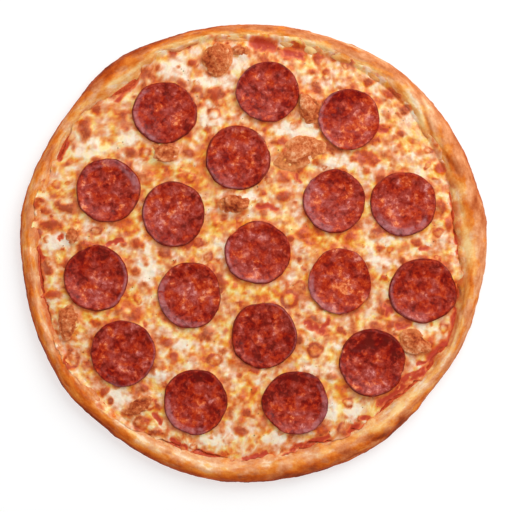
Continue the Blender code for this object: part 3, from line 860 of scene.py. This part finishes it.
# Where sauce shows, strings of cheese bridge the gap here and there, but not over the first two stretches.
bridges = 3.2 * smooth_step(2.6 * edge_noise(52, 89, 2) - 0.1)
creep = np.maximum(creep, bridges * smooth_step(on_lobes(cheese_angle, 0.0, SAUCE_SHOWS[2:]) / 0.8))
edge_reach = cheese_edge(cheese_angle) + 1.5 * edge_noise(90, 83, 3, 0) + creep
cheese_reach = np.hypot(disc_x, disc_y) * edge_reach
X, Y = cheese_reach * np.cos(cheese_angle), cheese_reach * np.sin(cheese_angle)
from_edge = edge_reach - cheese_reach
warp_x, warp_y = (1.6 * sheet_noise(6, seed) for seed in (91, 97))
print("cheese grid:", X.size, "points,", round(2 * LIP_RADIUS / CHEESE_CELLS, 2), "mm apart")

# %% Blisters, fat and sauce
BLISTER_SEED = 12
BLISTER_COUNT = 560
BLISTER_SCATTER = 2.4


class Blisters:
    """Domes on the sheet and the toast on them. Where two meet, the higher and the darker one holds."""

    def __init__(self):
        self.toast, self.relief = np.zeros_like(X), np.zeros_like(X)

    def add(self, x, y, width, height, depth, rise, heading=0.0, warp=1.0):
        """An oval dome of that rise, bent by the warp and darkest at one side of its middle. A negative
        depth toasts its rim, one side more than the other, round a paler heart."""
        reach = 0.8 * max(width, height) + 3
        near = (np.abs(X - x) < reach) & (np.abs(Y - y) < reach)
        east, north = X[near] + warp * warp_x[near] - x, Y[near] + warp * warp_y[near] - y
        along, off = turned_back(east, north, heading)
        far = np.hypot(along * 2 / width, off * 2 / height)
        heart = np.hypot(along * 2 / width - 0.3 * np.cos(9 * x), off * 2 / height - 0.3 * np.sin(9 * x))
        on, core = smooth_step((1.25 - far) / 0.9), np.exp(-((heart / 0.45) ** 2))
        ring = np.exp(-0.5 * ((far - 0.85) / 0.16) ** 2) * (0.55 + 0.45 * np.tanh(2 * (heart - 0.6)))
        toasted = (ring + 0.25 * on) * -depth if depth < 0 else (0.72 * on + 0.42 * core) * depth
        self.toast[near] = np.maximum(self.toast[near], toasted)
        self.relief[near] = np.maximum(self.relief[near], rise * np.clip(1 - far**2, 0, 1) ** 0.7)


def ovals(rows, soft, warp=0.8):
    """The highest of the rows' ovals at each point: 1 on one, 0 off it, with a soft edge."""
    best = np.zeros_like(X)
    for px, py, width, height, *strength in rows:
        x, y = from_photo(px, py)
        far = np.hypot((X + warp * warp_x - x) * 2 / width, (Y + warp * warp_y - y) * 2 / height) / PIXEL
        on = smooth_step((1 + soft / 2 - far) / soft) * (strength[0] if strength else 1)
        best = np.maximum(best, on)
    return best


blisters = Blisters()
for px, py, width, height, depth in TOASTED:
    width, height = width * PIXEL, height * PIXEL
    rise = 0.25 + 0.07 * (width + height) / 2
    blisters.add(*from_photo(px, py), width, height, 1.15 * depth, rise, warp=0.4)
draw = np.random.default_rng(BLISTER_SEED)
for x, y in zip(*sunflower(BLISTER_COUNT, LIP_RADIUS + 2)):
    x, y = x + draw.normal(0, BLISTER_SCATTER), y + draw.normal(0, BLISTER_SCATTER)
    size, oval, heading = draw.gamma(4, 1.15) + 1.0, draw.uniform(0.6, 1.1), draw.uniform(0, np.pi)
    depth = draw.uniform(0.1, 0.75) * (-1 if draw.uniform() < 0.28 else 1)
    blisters.add(x, y, size, size * oval, depth, 0.10 + 0.07 * size, heading, 0.8)

milk, fat = ovals(MILKY, 0.9, 1.3), ovals([row[:4] for row in OILY], 0.8)
redness = ovals(OILY, 0.8)
streak = np.zeros_like(X)
for x0, y0, x1, y1, width in SAUCY:
    (x0, y0), (x1, y1), width = from_photo(x0, y0), from_photo(x1, y1), width * PIXEL
    run_x, run_y = x1 - x0, y1 - y0
    way = np.clip(((X - x0) * run_x + (Y - y0) * run_y) / (run_x**2 + run_y**2), 0, 1)
    far = np.hypot(X + 0.9 * warp_x - x0 - way * run_x, Y + 0.9 * warp_y - y0 - way * run_y)
    streak = np.maximum(streak, smooth_step((0.85 * width - far) / (0.7 * width)))
streak *= smooth_step(sheet_noise(3.5, 137) + 1.25)
print("toasted share", round(float((blisters.toast > 0.4).mean()), 2))

# %% [markdown]
# ### Height of the cheese
#
# The slow swells and the larger lumps are the solid's own, so the sheet keeps its form. On them come the
# blisters, a doughy crinkle, and hollows where fat and sauce pool, because a liquid finds the low places.
# Under each slice the sheet lies flat and laps up to its lifted edge; against a crumble it climbs a little.

# %% Cheese heights
def lump_heights(x, y):
    """The larger lumps: bell curves spread by the golden angle, as on the solid."""
    draw = np.random.default_rng(LUMP_SEED)
    at_x, at_y = (place + draw.normal(0, LUMP_SCATTER, LUMP_COUNT)
                  for place in sunflower(LUMP_COUNT, LIP_RADIUS - LUMP_RADII[1]))
    radii, sizes = draw.uniform(*LUMP_RADII, LUMP_COUNT), draw.uniform(*LUMP_HEIGHTS, LUMP_COUNT)
    height = np.zeros_like(x)
    for lump_x, lump_y, radius, size in zip(at_x, at_y, radii, sizes):
        height += size * np.exp(-((x - lump_x) ** 2 + (y - lump_y) ** 2) / radius**2)
    return height


def crumble_share(row, x, y):
    """0 at a crumble's middle and 1 on the oval of its outline."""
    angle, distance, length, width, _, heading = row
    middle_x, middle_y = polar(angle, distance)
    way, off = turned_back(x - middle_x, y - middle_y, np.radians(heading))
    return np.hypot(way * 2 / length, off * 2 / width)


crumble_bottoms = [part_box(f"sausage_{number:02d}")[0].z / METRES for number in range(1, len(SAUSAGE) + 1)]
crinkle = 0.30 * sheet_noise(5.5, 103, 4) + 0.12 * sheet_noise(1.9, 107, 1)
veins = smooth_step((0.26 - np.abs(clouds((X + warp_x) / 10, (Y + warp_y) / 10, 109, 2))) / 0.26)
level = CHEESE_THICKNESS + swell_height(X, Y) + lump_heights(X, Y) - 0.35
level += crinkle + blisters.relief + 0.30 * milk + 0.25 * veins - 0.15 * fat - 0.7 * streak
roll = CHEESE_EDGE_SHARE + (1 - CHEESE_EDGE_SHARE) * smooth_step(from_edge / CHEESE_EDGE_ROLL)
Z = CHEESE_BOTTOM + level * roll
for one in slices:
    share = one.share(X, Y)
    lapped = one.seat(X, Y) + 0.40 * one.curl * np.clip((share - 0.72) / 0.28, 0, 1) + 0.05
    held = 1 - smooth_step(((share - 1) * one.width / 2 + 0.6) / 3.4)
    Z += (lapped - Z) * held
for row, bottom in zip(SAUSAGE, crumble_bottoms):
    share = crumble_share(row, X, Y)
    held = 0.85 * (1 - smooth_step((share - 0.80) * row[3] / 2 / 5.0))
    Z += (bottom + 1.3 + 1.3 * sheet_noise(3.2, 143, 2) - Z) * held
on_slope = crust_height(cheese_angle, cheese_reach) + 0.2 * sheet_noise(3, 139, 1)
on_slope += 0.30 + 0.60 * smooth_step(from_edge / 1.6)
Z = np.maximum(np.maximum(Z, CHEESE_BOTTOM + CHEESE_THINNEST), on_slope)
print("cheese heights from", round(float(Z.min()), 2), "to", round(float(Z.max()), 2), "mm")

# %% Cheese mesh
def sheet_faces(cells):
    """Quads of the square grid, a skirt of quads round its border, and a fan that closes the base. The
    border's lower copy follows the grid's points, and the base's middle comes last."""
    wide = cells + 1
    index = np.arange(wide * wide).reshape(wide, wide)
    quads = np.stack([index[:-1, :-1], index[:-1, 1:], index[1:, 1:], index[1:, :-1]], axis=-1).reshape(-1, 4)
    border = np.concatenate([index[0, :-1], index[:-1, -1], index[-1, :0:-1], index[:0:-1, 0]])
    low = wide * wide + np.arange(len(border))
    skirt = np.stack([border, low, np.roll(low, -1), np.roll(border, -1)], axis=1)
    middle = np.full(len(border), low[-1] + 1)
    return [quads, skirt, np.stack([np.roll(low, -1), low, middle], axis=1)], border


CHEESE_STOPS = (0.02, 0.10, 0.22, 0.40, 0.60, 0.78, 0.90, 0.98)
MILK = (
    (0.39, 0.052, 0.005), (0.58, 0.125, 0.022), (0.70, 0.215, 0.060), (0.77, 0.315, 0.145),
    (0.83, 0.435, 0.260), (0.885, 0.565, 0.375), (0.93, 0.685, 0.50), (0.96, 0.820, 0.650),
)
BUTTER = (
    (0.53, 0.052, 0.003), (0.71, 0.105, 0.003), (0.80, 0.170, 0.006), (0.86, 0.285, 0.014),
    (0.91, 0.410, 0.045), (0.95, 0.540, 0.105), (0.975, 0.660, 0.20), (0.985, 0.780, 0.32),
)


def cheese_finish():
    """One tone from toasted to milky, broken up by fine noise and read through two ramps, one of dry curd
    and one of buttery fat. Sauce turns it red."""
    finish = Finish("melted_cheese", Specular_IOR_Level=0.4, Subsurface_Weight=0.1, Subsurface_Scale=0.002)
    fine, tiny, broad = finish.noise(1.2, 3, 0.65), finish.noise(0.5, 2, 0.6), finish.noise(4.0, 4, 0.6, 0.6)
    tint = finish.noise(4.5, 2, 0.5, 0.4, offset=9.0)
    break_up = (fine - 0.5) * 0.26 + (broad - 0.5) * 0.30
    tone, sauce = finish.carried("tone") + break_up, finish.carried("sauce") + break_up * 0.6
    yellow = finish.carried("yellow") + (tint - 0.5) * 1.3
    colour = finish.two_ramps(tone, yellow, CHEESE_STOPS, MILK, BUTTER)
    colour = (finish.carried("pink") * 0.18).blend(colour, (0.84, 0.40, 0.25))
    colour = sauce.between(0.15, 0.60).blend(colour, (0.80, 0.160, 0.035))
    colour = sauce.between(0.45, 1.00).blend(colour, (0.55, 0.042, 0.010))
    roughness = 0.50 - yellow.between(0.5, 1.0) * 0.18 + (0.5 - tone) * 0.15 + (tiny - 0.5) * 0.2
    return finish.set(colour, roughness, broad * 0.3 + fine * 0.5 + tiny * 0.2, 0.5)


def ranked(value):
    """Each point's place in the order of all, from 0 to 1, so that every share of the ramp is used
    alike."""
    place = np.empty(value.size)
    place[np.argsort(value, axis=None)] = np.linspace(0, 1, value.size)
    return place.reshape(value.shape)


near_slice = np.max([np.exp(-0.5 * ((one.share(X, Y) - 1.02) / 0.09) ** 2) for one in slices], axis=0)
lightness = 0.12 * veins + 0.48 * milk - 1.5 * blisters.toast + 0.30 * sheet_noise(14, 113)
lightness += 0.52 * sheet_noise(4.5, 117, 4) - 0.30 * near_slice - 1.1 * redness
tone = ranked(lightness)
yellow = sheet_noise(12, 121) + 0.75 * sheet_noise(4.5, 123, 2)
yellow = ranked(yellow + 1.3 * fat - 0.9 * milk + 0.25 * near_slice)
pink = smooth_step(2.2 * sheet_noise(8, 149) - 0.3)
at_lip = smooth_step((3.5 - from_edge) / 3.5) * smooth_step(cheese_gap / 2)
at_lip *= 0.55 + 0.5 * sheet_noise(5, 131, 2)
thin = 0.34 * smooth_step(2.4 * sheet_noise(8, 153, 4) - 0.55) * (1 - milk)
pooled = np.clip(np.max([streak, at_lip, thin], axis=0), 0, 1)
grid_faces, border = sheet_faces(CHEESE_CELLS)
tuck = 1 - HEM_TUCK / LIP_RADIUS
top = np.stack([X, Y, Z], axis=-1).reshape(-1, 3)
hem = top[border] * [tuck, tuck, 0] + [0, 0, CHEESE_BOTTOM]
sheet_points = np.vstack([top, hem, [[0, 0, CHEESE_BOTTOM]]])
cheese = piece_from("cheese_melted", sheet_points, grid_faces, cheese_finish(), ["cheese"])
for name, value in {"tone": tone, "yellow": yellow, "pink": pink, "sauce": pooled}.items():
    flat = value.ravel()
    carry(cheese, **{name: np.concatenate([flat, flat[border], [0.5]])})
print("cheese:", len(cheese.data.polygons), "faces")

# %% [markdown]
# ## Pepperoni
#
# A slice is a thin turned solid again: rings from its middle out over the raised edge and back underneath.
# The meat is ground coarse, so it is red paste with orange fat specks and darker lean ones, and the casing
# edge is nearly black. Its cup holds melted fat, which is why it shines: a clear coat over a rougher meat.

# %% Slice meshes
SLICE_COLUMNS = 96
SLICE_PROFILE_STEPS = 6


def slice_rings(one):
    """Rings of the slice's profile, wobbled to its outline, twisted by its second harmonic, and grained.
    The curl comes and goes round the edge, so that no two stretches of it are alike."""
    thick, curl = SLICE_THICKNESS, one.curl
    profile = (
        (0.06, thick - SLICE_SAG), (0.28, thick - 0.6 * SLICE_SAG), (0.50, thick),
        (0.70, thick + 0.22 * curl), (0.86, thick + 0.68 * curl), (0.965, thick + 0.98 * curl),
        (1, thick + 0.72 * curl),
        (0.97, 0.62 * thick + 0.5 * curl), (0.72, 0.0), (0.40, 0.0), (0.06, 0.0),
    )
    curve = rounded(profile, SLICE_PROFILE_STEPS)
    angle, share, z = turned(curve, SLICE_COLUMNS)
    round_way = angle / (2 * np.pi)
    nicks = clouds(round_way * 9, share, 220 + one.number, 3, 9) * smooth_step((share - 0.8) / 0.2)
    reach = share * one.wobble(angle) * (1 + 0.028 * nicks)
    x = one.x + reach * np.cos(angle) * one.width / 2
    y = one.y + reach * np.sin(angle) * one.depth / 2
    lift = 0.30 * curl * np.cos(2 * angle + one.second) * smooth_step((share - 0.5) / 0.5)
    waves = clouds(round_way * 6, 0 * share, 240 + one.number, 2, 6)
    lift += 0.42 * curl * waves * smooth_step((share - 0.6) / 0.4)
    above = np.arange(len(curve))[:, None] < 6.5 * SLICE_PROFILE_STEPS
    meat = 0.17 * clouds(x / 3.2, y / 3.2, 150 + one.number, 3) + 0.30 * cloud(x / 9, y / 9, 180 + one.number)
    z = z + one.seat(x, y) + GAP + np.where(above, meat, 0) + np.where(z > 0.4 * thick, lift, 0)
    return np.stack([x, y, z], axis=-1), share * np.where(above, 1, 1.2)


MEAT_STOPS = (0.02, 0.22, 0.42, 0.60, 0.78, 0.98)
ROSY = (
    (0.15, 0.006, 0.002), (0.26, 0.016, 0.006), (0.35, 0.034, 0.020), (0.42, 0.058, 0.042),
    (0.53, 0.115, 0.095), (0.72, 0.26, 0.23),
)
FIERY = (
    (0.17, 0.001, 0.0), (0.29, 0.007, 0.0), (0.42, 0.022, 0.002), (0.52, 0.042, 0.006),
    (0.66, 0.095, 0.022), (0.88, 0.26, 0.085),
)
# How each slice came out: (lighter, painted shade that darkens it towards +y, more orange, where its painted
# sheen lies).
SLICE_LOOKS = (
    (0.08, 0, 0, 225), (-0.03, 0, 0, 20), (0.12, 0.04, 0.25, 215), (0.03, 0, 0, 190), (0.03, 0, 0, 235),
    (0.03, 0, -0.1, 210), (0.03, 0, 0.1, 215), (-0.07, 0.14, -0.1, 330), (-0.07, 0.14, 0, 205),
    (0, 0.12, 0.1, 215), (0.05, 0, 0, 255), (0.03, 0.12, 0.25, 185), (-0.03, 0, 0, 195), (0, 0, 0, 200),
    (0.03, 0, 0, 60), (0, 0.10, 0, 345), (0, 0, 0, 320), (-0.10, 0.12, 0.1, 240),
)


def pepperoni_finish():
    """Lean paste with fat: one tone from dark to light, made of a broad, a middle and a fine noise, and
    read through two ramps, one rosy and one orange. The edge is darker, painted shade darkens some slices
    towards +y, and a mauve painted sheen, a painted reflection of the light, lies on stretches of the cup's
    wall."""
    finish = Finish("cured_pepperoni", Specular_IOR_Level=0.10, Coat_Weight=0.10, Coat_Roughness=0.18)
    broad, lean = finish.noise(9, 3, 0.55, 0.4), finish.noise(4.0, 4, 0.65, 0.5)
    mince, fleck, fine = finish.bits(4.4, 0.9), finish.bits(1.9, 0.8, 5.0), finish.noise(0.7, 2, 0.6)
    across, tint = finish.carried("across"), finish.noise(6.5, 2, 0.5, 0.5, offset=7.0)
    tone = broad.between(0.32, 0.68) * 0.44 + lean.between(0.34, 0.66) * 0.37 + mince * 0.28 - 0.07
    tone = tone + fleck.between(0.45, 1.0) * 0.25 + (fine - 0.5) * 0.24 - 0.08
    tone = tone - across.between(0.5, 1.0) * 0.10
    orange = finish.carried("orange") + 0.5 + (tint - 0.5) * 4.2 + (mince - 0.5) * 0.3
    # The carried tone holds each slice's own lightness plus painted shade, darker towards +y.
    colour = finish.two_ramps(tone + finish.carried("cooked"), orange, MEAT_STOPS, ROSY, FIERY)
    # A painted mauve sheen: a painted reflection of the light on stretches of the cup's wall.
    colour = (finish.carried("bloom") * (0.42 + (lean - 0.5) * 2.4)).blend(colour, (0.44, 0.17, 0.18))
    singed = across.between(0.955, 1.005) * broad.between(0.42, 0.62) * 0.6
    colour = singed.blend(colour, (0.15, 0.018, 0.010))
    return finish.set(colour, 0.34 + fleck * 0.22, lean * 0.35 + fleck * 0.4 + fine * 0.25, 0.5)


cured = pepperoni_finish()
for one in slices:
    rings, across = slice_rings(one)
    name, node = (f"pepperoni_{kind}{one.number:02d}" for kind in ("slice_", ""))
    made = turned_piece(name, rings, cured, node)
    facing = np.arctan2(rings[..., 1] - one.y, rings[..., 0] - one.x)
    lighter, painted_top_shade, orange, painted_sheen_side = SLICE_LOOKS[one.number - 1]
    # The painted sheen, a painted reflection of the light, lies on the side of the cup wall that each slice's
    # row gives.
    side = np.cos(facing - np.radians(painted_sheen_side))
    side += 0.5 * clouds(facing / (2 * np.pi) * 8, across * 3, 260 + one.number, 3, 8)
    wide = 0.84 - 0.10 * np.cos(1.7 * one.number)
    bloom = smooth_step((side - 0.30) / 0.4) * smooth_step((across - wide) / 0.08) * (across < 1.01)
    # Each slice's own lighter or darker tone, plus painted shade that darkens it towards +y.
    cooked = lighter - painted_top_shade * (rings[..., 1] - one.y) * 2 / one.depth
    carry(made, across=[*across.ravel(), 0, 0], bloom=[*bloom.ravel(), 0, 0],
          cooked=[*cooked.ravel(), lighter, lighter], orange=np.full(across.size + 2, orange))
print("pepperoni:", len(slices), "slices of", len(made.data.polygons), "faces")

# %% [markdown]
# ## Sausage crumbles
#
# Crumbled sausage is torn, not cut, so its surface is craggy at every size. A ball of rings is roughened by
# crossing waves in space, which have no seam or pole, drawn out to the crumble's three sizes and flattened
# below. The cheese has already climbed round its foot.

# %% Crumble meshes
CRUMBLE_SEED = 7
CRUMBLE_FLATTEST = 0.45
CRUMBLE_SUNK = 2.2
CRUMBLE_RINGS = 44
CRUMBLE_COLUMNS = 72
CRUMBLE_POLE = 0.04
CRAG_WAVES = 34
# How much lighter or darker each crumble is.
CRUMBLE_TONES = (-0.02, -0.05, 0.12, -0.12, -0.02, 0, -0.10, 0.03, -0.16, -0.05)
MINCE_STOPS = (0.0, 0.25, 0.5, 0.72, 1.0)
MINCE = (
    (0.22, 0.022, 0.006), (0.44, 0.072, 0.016), (0.61, 0.145, 0.040), (0.75, 0.255, 0.095),
    (0.90, 0.48, 0.26),
)


def crags(points, draw):
    """Sum of sine waves with random headings: the finer the wave, the lower."""
    height = np.zeros(points.shape[:-1])
    for _ in range(CRAG_WAVES):
        pitch = draw.uniform(1.6, 18)
        heading = draw.normal(size=3)
        heading *= pitch / np.linalg.norm(heading)
        height += np.sin(points @ heading + draw.uniform(0, 2 * np.pi)) / pitch**0.8
    return height


def crumble_rings(number, row):
    """The crumble's ball, and how far each point stands out of it. Its top is the solid's, and its foot is
    sunk into the cheese."""
    angle, distance, length, width, height, heading = row
    draw = np.random.default_rng(CRUMBLE_SEED + number)
    downward = np.linspace(CRUMBLE_POLE, np.pi - CRUMBLE_POLE, CRUMBLE_RINGS)
    down, turn = np.meshgrid(downward, whole_turn(CRUMBLE_COLUMNS), indexing="ij")
    ball = round_points(turn, np.sin(down), np.cos(down))
    rough = crags(ball, draw)
    ball *= (1 + 0.12 * rough)[..., None]
    lobes = 0.10 * np.cos(2 * turn + 1.9 * number) + 0.08 * np.cos(3 * turn + 2.7 * number)
    ball[..., :2] *= (1.15 + lobes * np.sin(down) ** 2)[..., None]
    ball[..., 2] = np.maximum(ball[..., 2], -CRUMBLE_FLATTEST) + CRUMBLE_FLATTEST
    ball *= (length / 2, width / 2, (height + CRUMBLE_SUNK) / (1 + CRUMBLE_FLATTEST))
    middle_x, middle_y = polar(angle, distance)
    x, y = turned_back(ball[..., 0], ball[..., 1], -np.radians(heading))
    z = ball[..., 2] + crumble_bottoms[number - 1] - CRUMBLE_SUNK
    return np.stack([middle_x + x, middle_y + y, z], axis=-1), rough


def sausage_finish():
    """Coarse mince from orange brown to tan, with painted shade darkening its crevices and painted light on
    its crags. Towards its foot a crumble takes on the colour of the cheese that it sits in."""
    finish = Finish("browned_sausage", Specular_IOR_Level=0.1)
    grain, fine, broad = finish.noise(1.6, 3, 0.65), finish.noise(0.5, 2, 0.6), finish.noise(4, 3, 0.6)
    tone = grain * 1.25 + broad * 1.4 + finish.carried("proud") * 0.40 - 1.04
    colour = finish.ramp(tone, MINCE_STOPS, MINCE)
    colour = (finish.carried("foot") * (0.1 + grain * 0.9)).blend(colour, (0.83, 0.28, 0.080))
    return finish.set(colour, 0.45 + fine * 0.25, grain * 0.6 + fine * 0.4, 0.7)


browned_meat = sausage_finish()
for number, row in enumerate(SAUSAGE, 1):
    rings, rough = crumble_rings(number, row)
    name, node = (f"sausage_{kind}{number:02d}" for kind in ("crumble_", ""))
    made = turned_piece(name, rings, browned_meat, node)
    # Painted shade and light by crag height, darker in the hollows and lighter where it stands out, plus each
    # crumble's own tone.
    proud = 0.5 + 0.35 * np.append(rough.ravel(), [0, 0]) + CRUMBLE_TONES[number - 1] / 0.40
    rise = np.append(rings[..., 2].ravel(), [rings[0, 0, 2], rings[-1, 0, 2]]) - crumble_bottoms[number - 1]
    carry(made, proud=proud, foot=smooth_step((2.0 - rise) / 1.4))
print("sausage:", len(SAUSAGE), "crumbles of", len(made.data.polygons), "faces")

# %% [markdown]
# ## Herbs and pepper
#
# A little dried oregano and black pepper lies on the cheese. Each fleck is a small closed flake of two
# rings, and all of them are one mesh, because hundreds of separate objects would slow everything down for
# nothing. They are drawn at random over the disc, and those that would fall on a slice or a crumble are
# left out.

# %% Flecks
FLECK_SEED = 23
FLECK_COUNT = 300
FLECK_LENGTHS = (0.3, 1.1)
FLECK_SIDES = 6
FLECKS_REACH = 132


def flake(side):
    """A closed pebble of two rings and two poles on the unit ball, wide, flat and of that many sides."""
    rings = [round_points(whole_turn(side), 0.85, np.full(side, height)) for height in (0.5, -0.5)]
    return np.vstack([*rings, [[0, 0, 1], [0, 0, -1]]]), ring_faces(2, side)


def height_at(x, y):
    """The height of the cheese's nearest grid point."""
    squared = (X.ravel()[None] - x[:, None]) ** 2 + (Y.ravel()[None] - y[:, None]) ** 2
    return Z.ravel()[np.argmin(squared, axis=1)]


draw = np.random.default_rng(FLECK_SEED)
reach = FLECKS_REACH * np.sqrt(draw.uniform(0, 1, FLECK_COUNT))
turn = draw.uniform(0, 2 * np.pi, FLECK_COUNT)
fleck_x, fleck_y = reach * np.cos(turn), reach * np.sin(turn)
clear = np.min([one.share(fleck_x, fleck_y) for one in slices], axis=0) > 1.06
clear &= np.min([crumble_share(row, fleck_x, fleck_y) for row in SAUSAGE], axis=0) > 1.1
fleck_x, fleck_y = fleck_x[clear], fleck_y[clear]
lengths = draw.uniform(*FLECK_LENGTHS, len(fleck_x))
heading = draw.uniform(0, np.pi, len(fleck_x))
fleck_z = height_at(fleck_x, fleck_y) + 0.10
unit, unit_faces = flake(FLECK_SIDES)
widths = lengths * draw.uniform(0.25, 0.5, len(lengths))
flakes = unit[None] * np.stack([lengths / 2, widths, 0.08 + 0.1 * lengths], axis=1)[:, None]
along_x, along_y = turned_back(flakes[..., 0], flakes[..., 1], -heading[:, None])
fleck_points = np.stack([along_x, along_y, flakes[..., 2]], axis=-1)
fleck_points += np.stack([fleck_x, fleck_y, fleck_z], axis=1)[:, None]
offsets = np.arange(len(fleck_x))[:, None, None] * len(unit)
fleck_faces = [(block[None] + offsets).reshape(-1, block.shape[1]) for block in unit_faces]


def herb_finish():
    finish = Finish("dried_herbs", Specular_IOR_Level=0.2)
    kind, fine = finish.noise(6, 2, 0.5), finish.noise(0.4, 2, 0.5)
    colour = kind.between(0.42, 0.58).blend((0.09, 0.035, 0.012), (0.16, 0.10, 0.02))
    return finish.set(colour, 0.6 + fine * 0.2, fine, 0.05)


piece_from("herb_flecks", fleck_points.reshape(-1, 3), fleck_faces, herb_finish(), [])
print("flecks:", len(fleck_x), "of", len(unit), "points")

# %% [markdown]
# ## Table, light and camera
#
# The photograph is a bright cut-out seen from straight above: a plain white ground, one broad light from
# the top right and light from all round. The camera stands far off with a long lens, so that the rim's far
# and near sides look alike. Its place is moved by the few pixels that the pizza is off the middle of the
# picture.

# %% Stage
FRAME_PIXELS = 512
CAMERA_NUDGE = 0.3
CAMERA_HEIGHT = 1.6
SENSOR = 36
GROUND_GREY = 0.45
GROUND_GLOW = 0.60
GROUND_REACH = 30
KEY_PLACE = (0.42, 0.60, 1.05)
KEY_SIZE = 0.9
KEY_WATTS = 12.3
SKY_AT_HORIZON = 1.05
SKY_OVERHEAD = 0.22


def stage_floor():
    mesh = bpy.data.meshes.new("floor")
    corners = [(x * GROUND_REACH, y * GROUND_REACH, 0) for x, y in ((-1, -1), (1, -1), (1, 1), (-1, 1))]
    mesh.from_pydata(corners, [], [(0, 1, 2, 3)])
    finish = bpy.data.materials.new("white_ground")
    finish.use_nodes = True
    shader = finish.node_tree.nodes["Principled BSDF"]
    values = {"Base Color": (*(GROUND_GREY,) * 3, 1), "Roughness": 0.9, "Specular IOR Level": 0.1,
              "Emission Color": (1, 1, 1, 1), "Emission Strength": GROUND_GLOW}
    for name, value in values.items():
        shader.inputs[name].default_value = value
    mesh.materials.append(finish)
    linked("floor", mesh)


def soft_light(name, place, size, watts):
    """A square lamp that faces the pizza's middle."""
    lamp = bpy.data.lights.new(name, "AREA")
    lamp.size = size
    lamp.energy = watts
    made = linked(name, lamp)
    made.location = place
    made.rotation_euler = (-made.location).to_track_quat("-Z", "Y").to_euler()


def room_light(scene, low, high):
    """Light from all round: low strength at the horizon, high strength overhead, in proportion between."""
    scene.world = bpy.data.worlds.new("studio")
    scene.world.use_nodes = True
    tree = scene.world.node_tree
    way = Signal(tree.nodes.new("ShaderNodeTexCoord").outputs["Generated"])
    up = way.node("ShaderNodeSeparateXYZ", {}, {0: way}, 2)
    strength = up.node("ShaderNodeMapRange", {}, {0: up, 1: 0.0, 2: 1.0, 3: low, 4: high})
    sky = tree.nodes["Background"]
    sky.inputs["Color"].default_value = (1, 1, 1, 1)
    tree.links.new(strength.socket, sky.inputs["Strength"])


stage_floor()
soft_light("key", KEY_PLACE, KEY_SIZE, KEY_WATTS)
scene = bpy.context.scene
room_light(scene, SKY_AT_HORIZON, SKY_OVERHEAD)
scene.view_settings.view_transform = "Standard"

camera_data = bpy.data.cameras.new("camera")
camera = linked("camera", camera_data)
scene.camera = camera
rim_height = RIM_HEIGHT * METRES
right = FRAME_PIXELS / 2 - PHOTO_MIDDLE[0] - CAMERA_NUDGE
up = PHOTO_MIDDLE[1] + CAMERA_NUDGE - FRAME_PIXELS / 2
camera.location = (right * PIXEL * METRES, up * PIXEL * METRES, CAMERA_HEIGHT)
camera_data.sensor_width = SENSOR
camera_data.lens = SENSOR * (CAMERA_HEIGHT - rim_height) / (FRAME_PIXELS * PIXEL * METRES)
print("camera lens", round(camera_data.lens, 1), "mm")
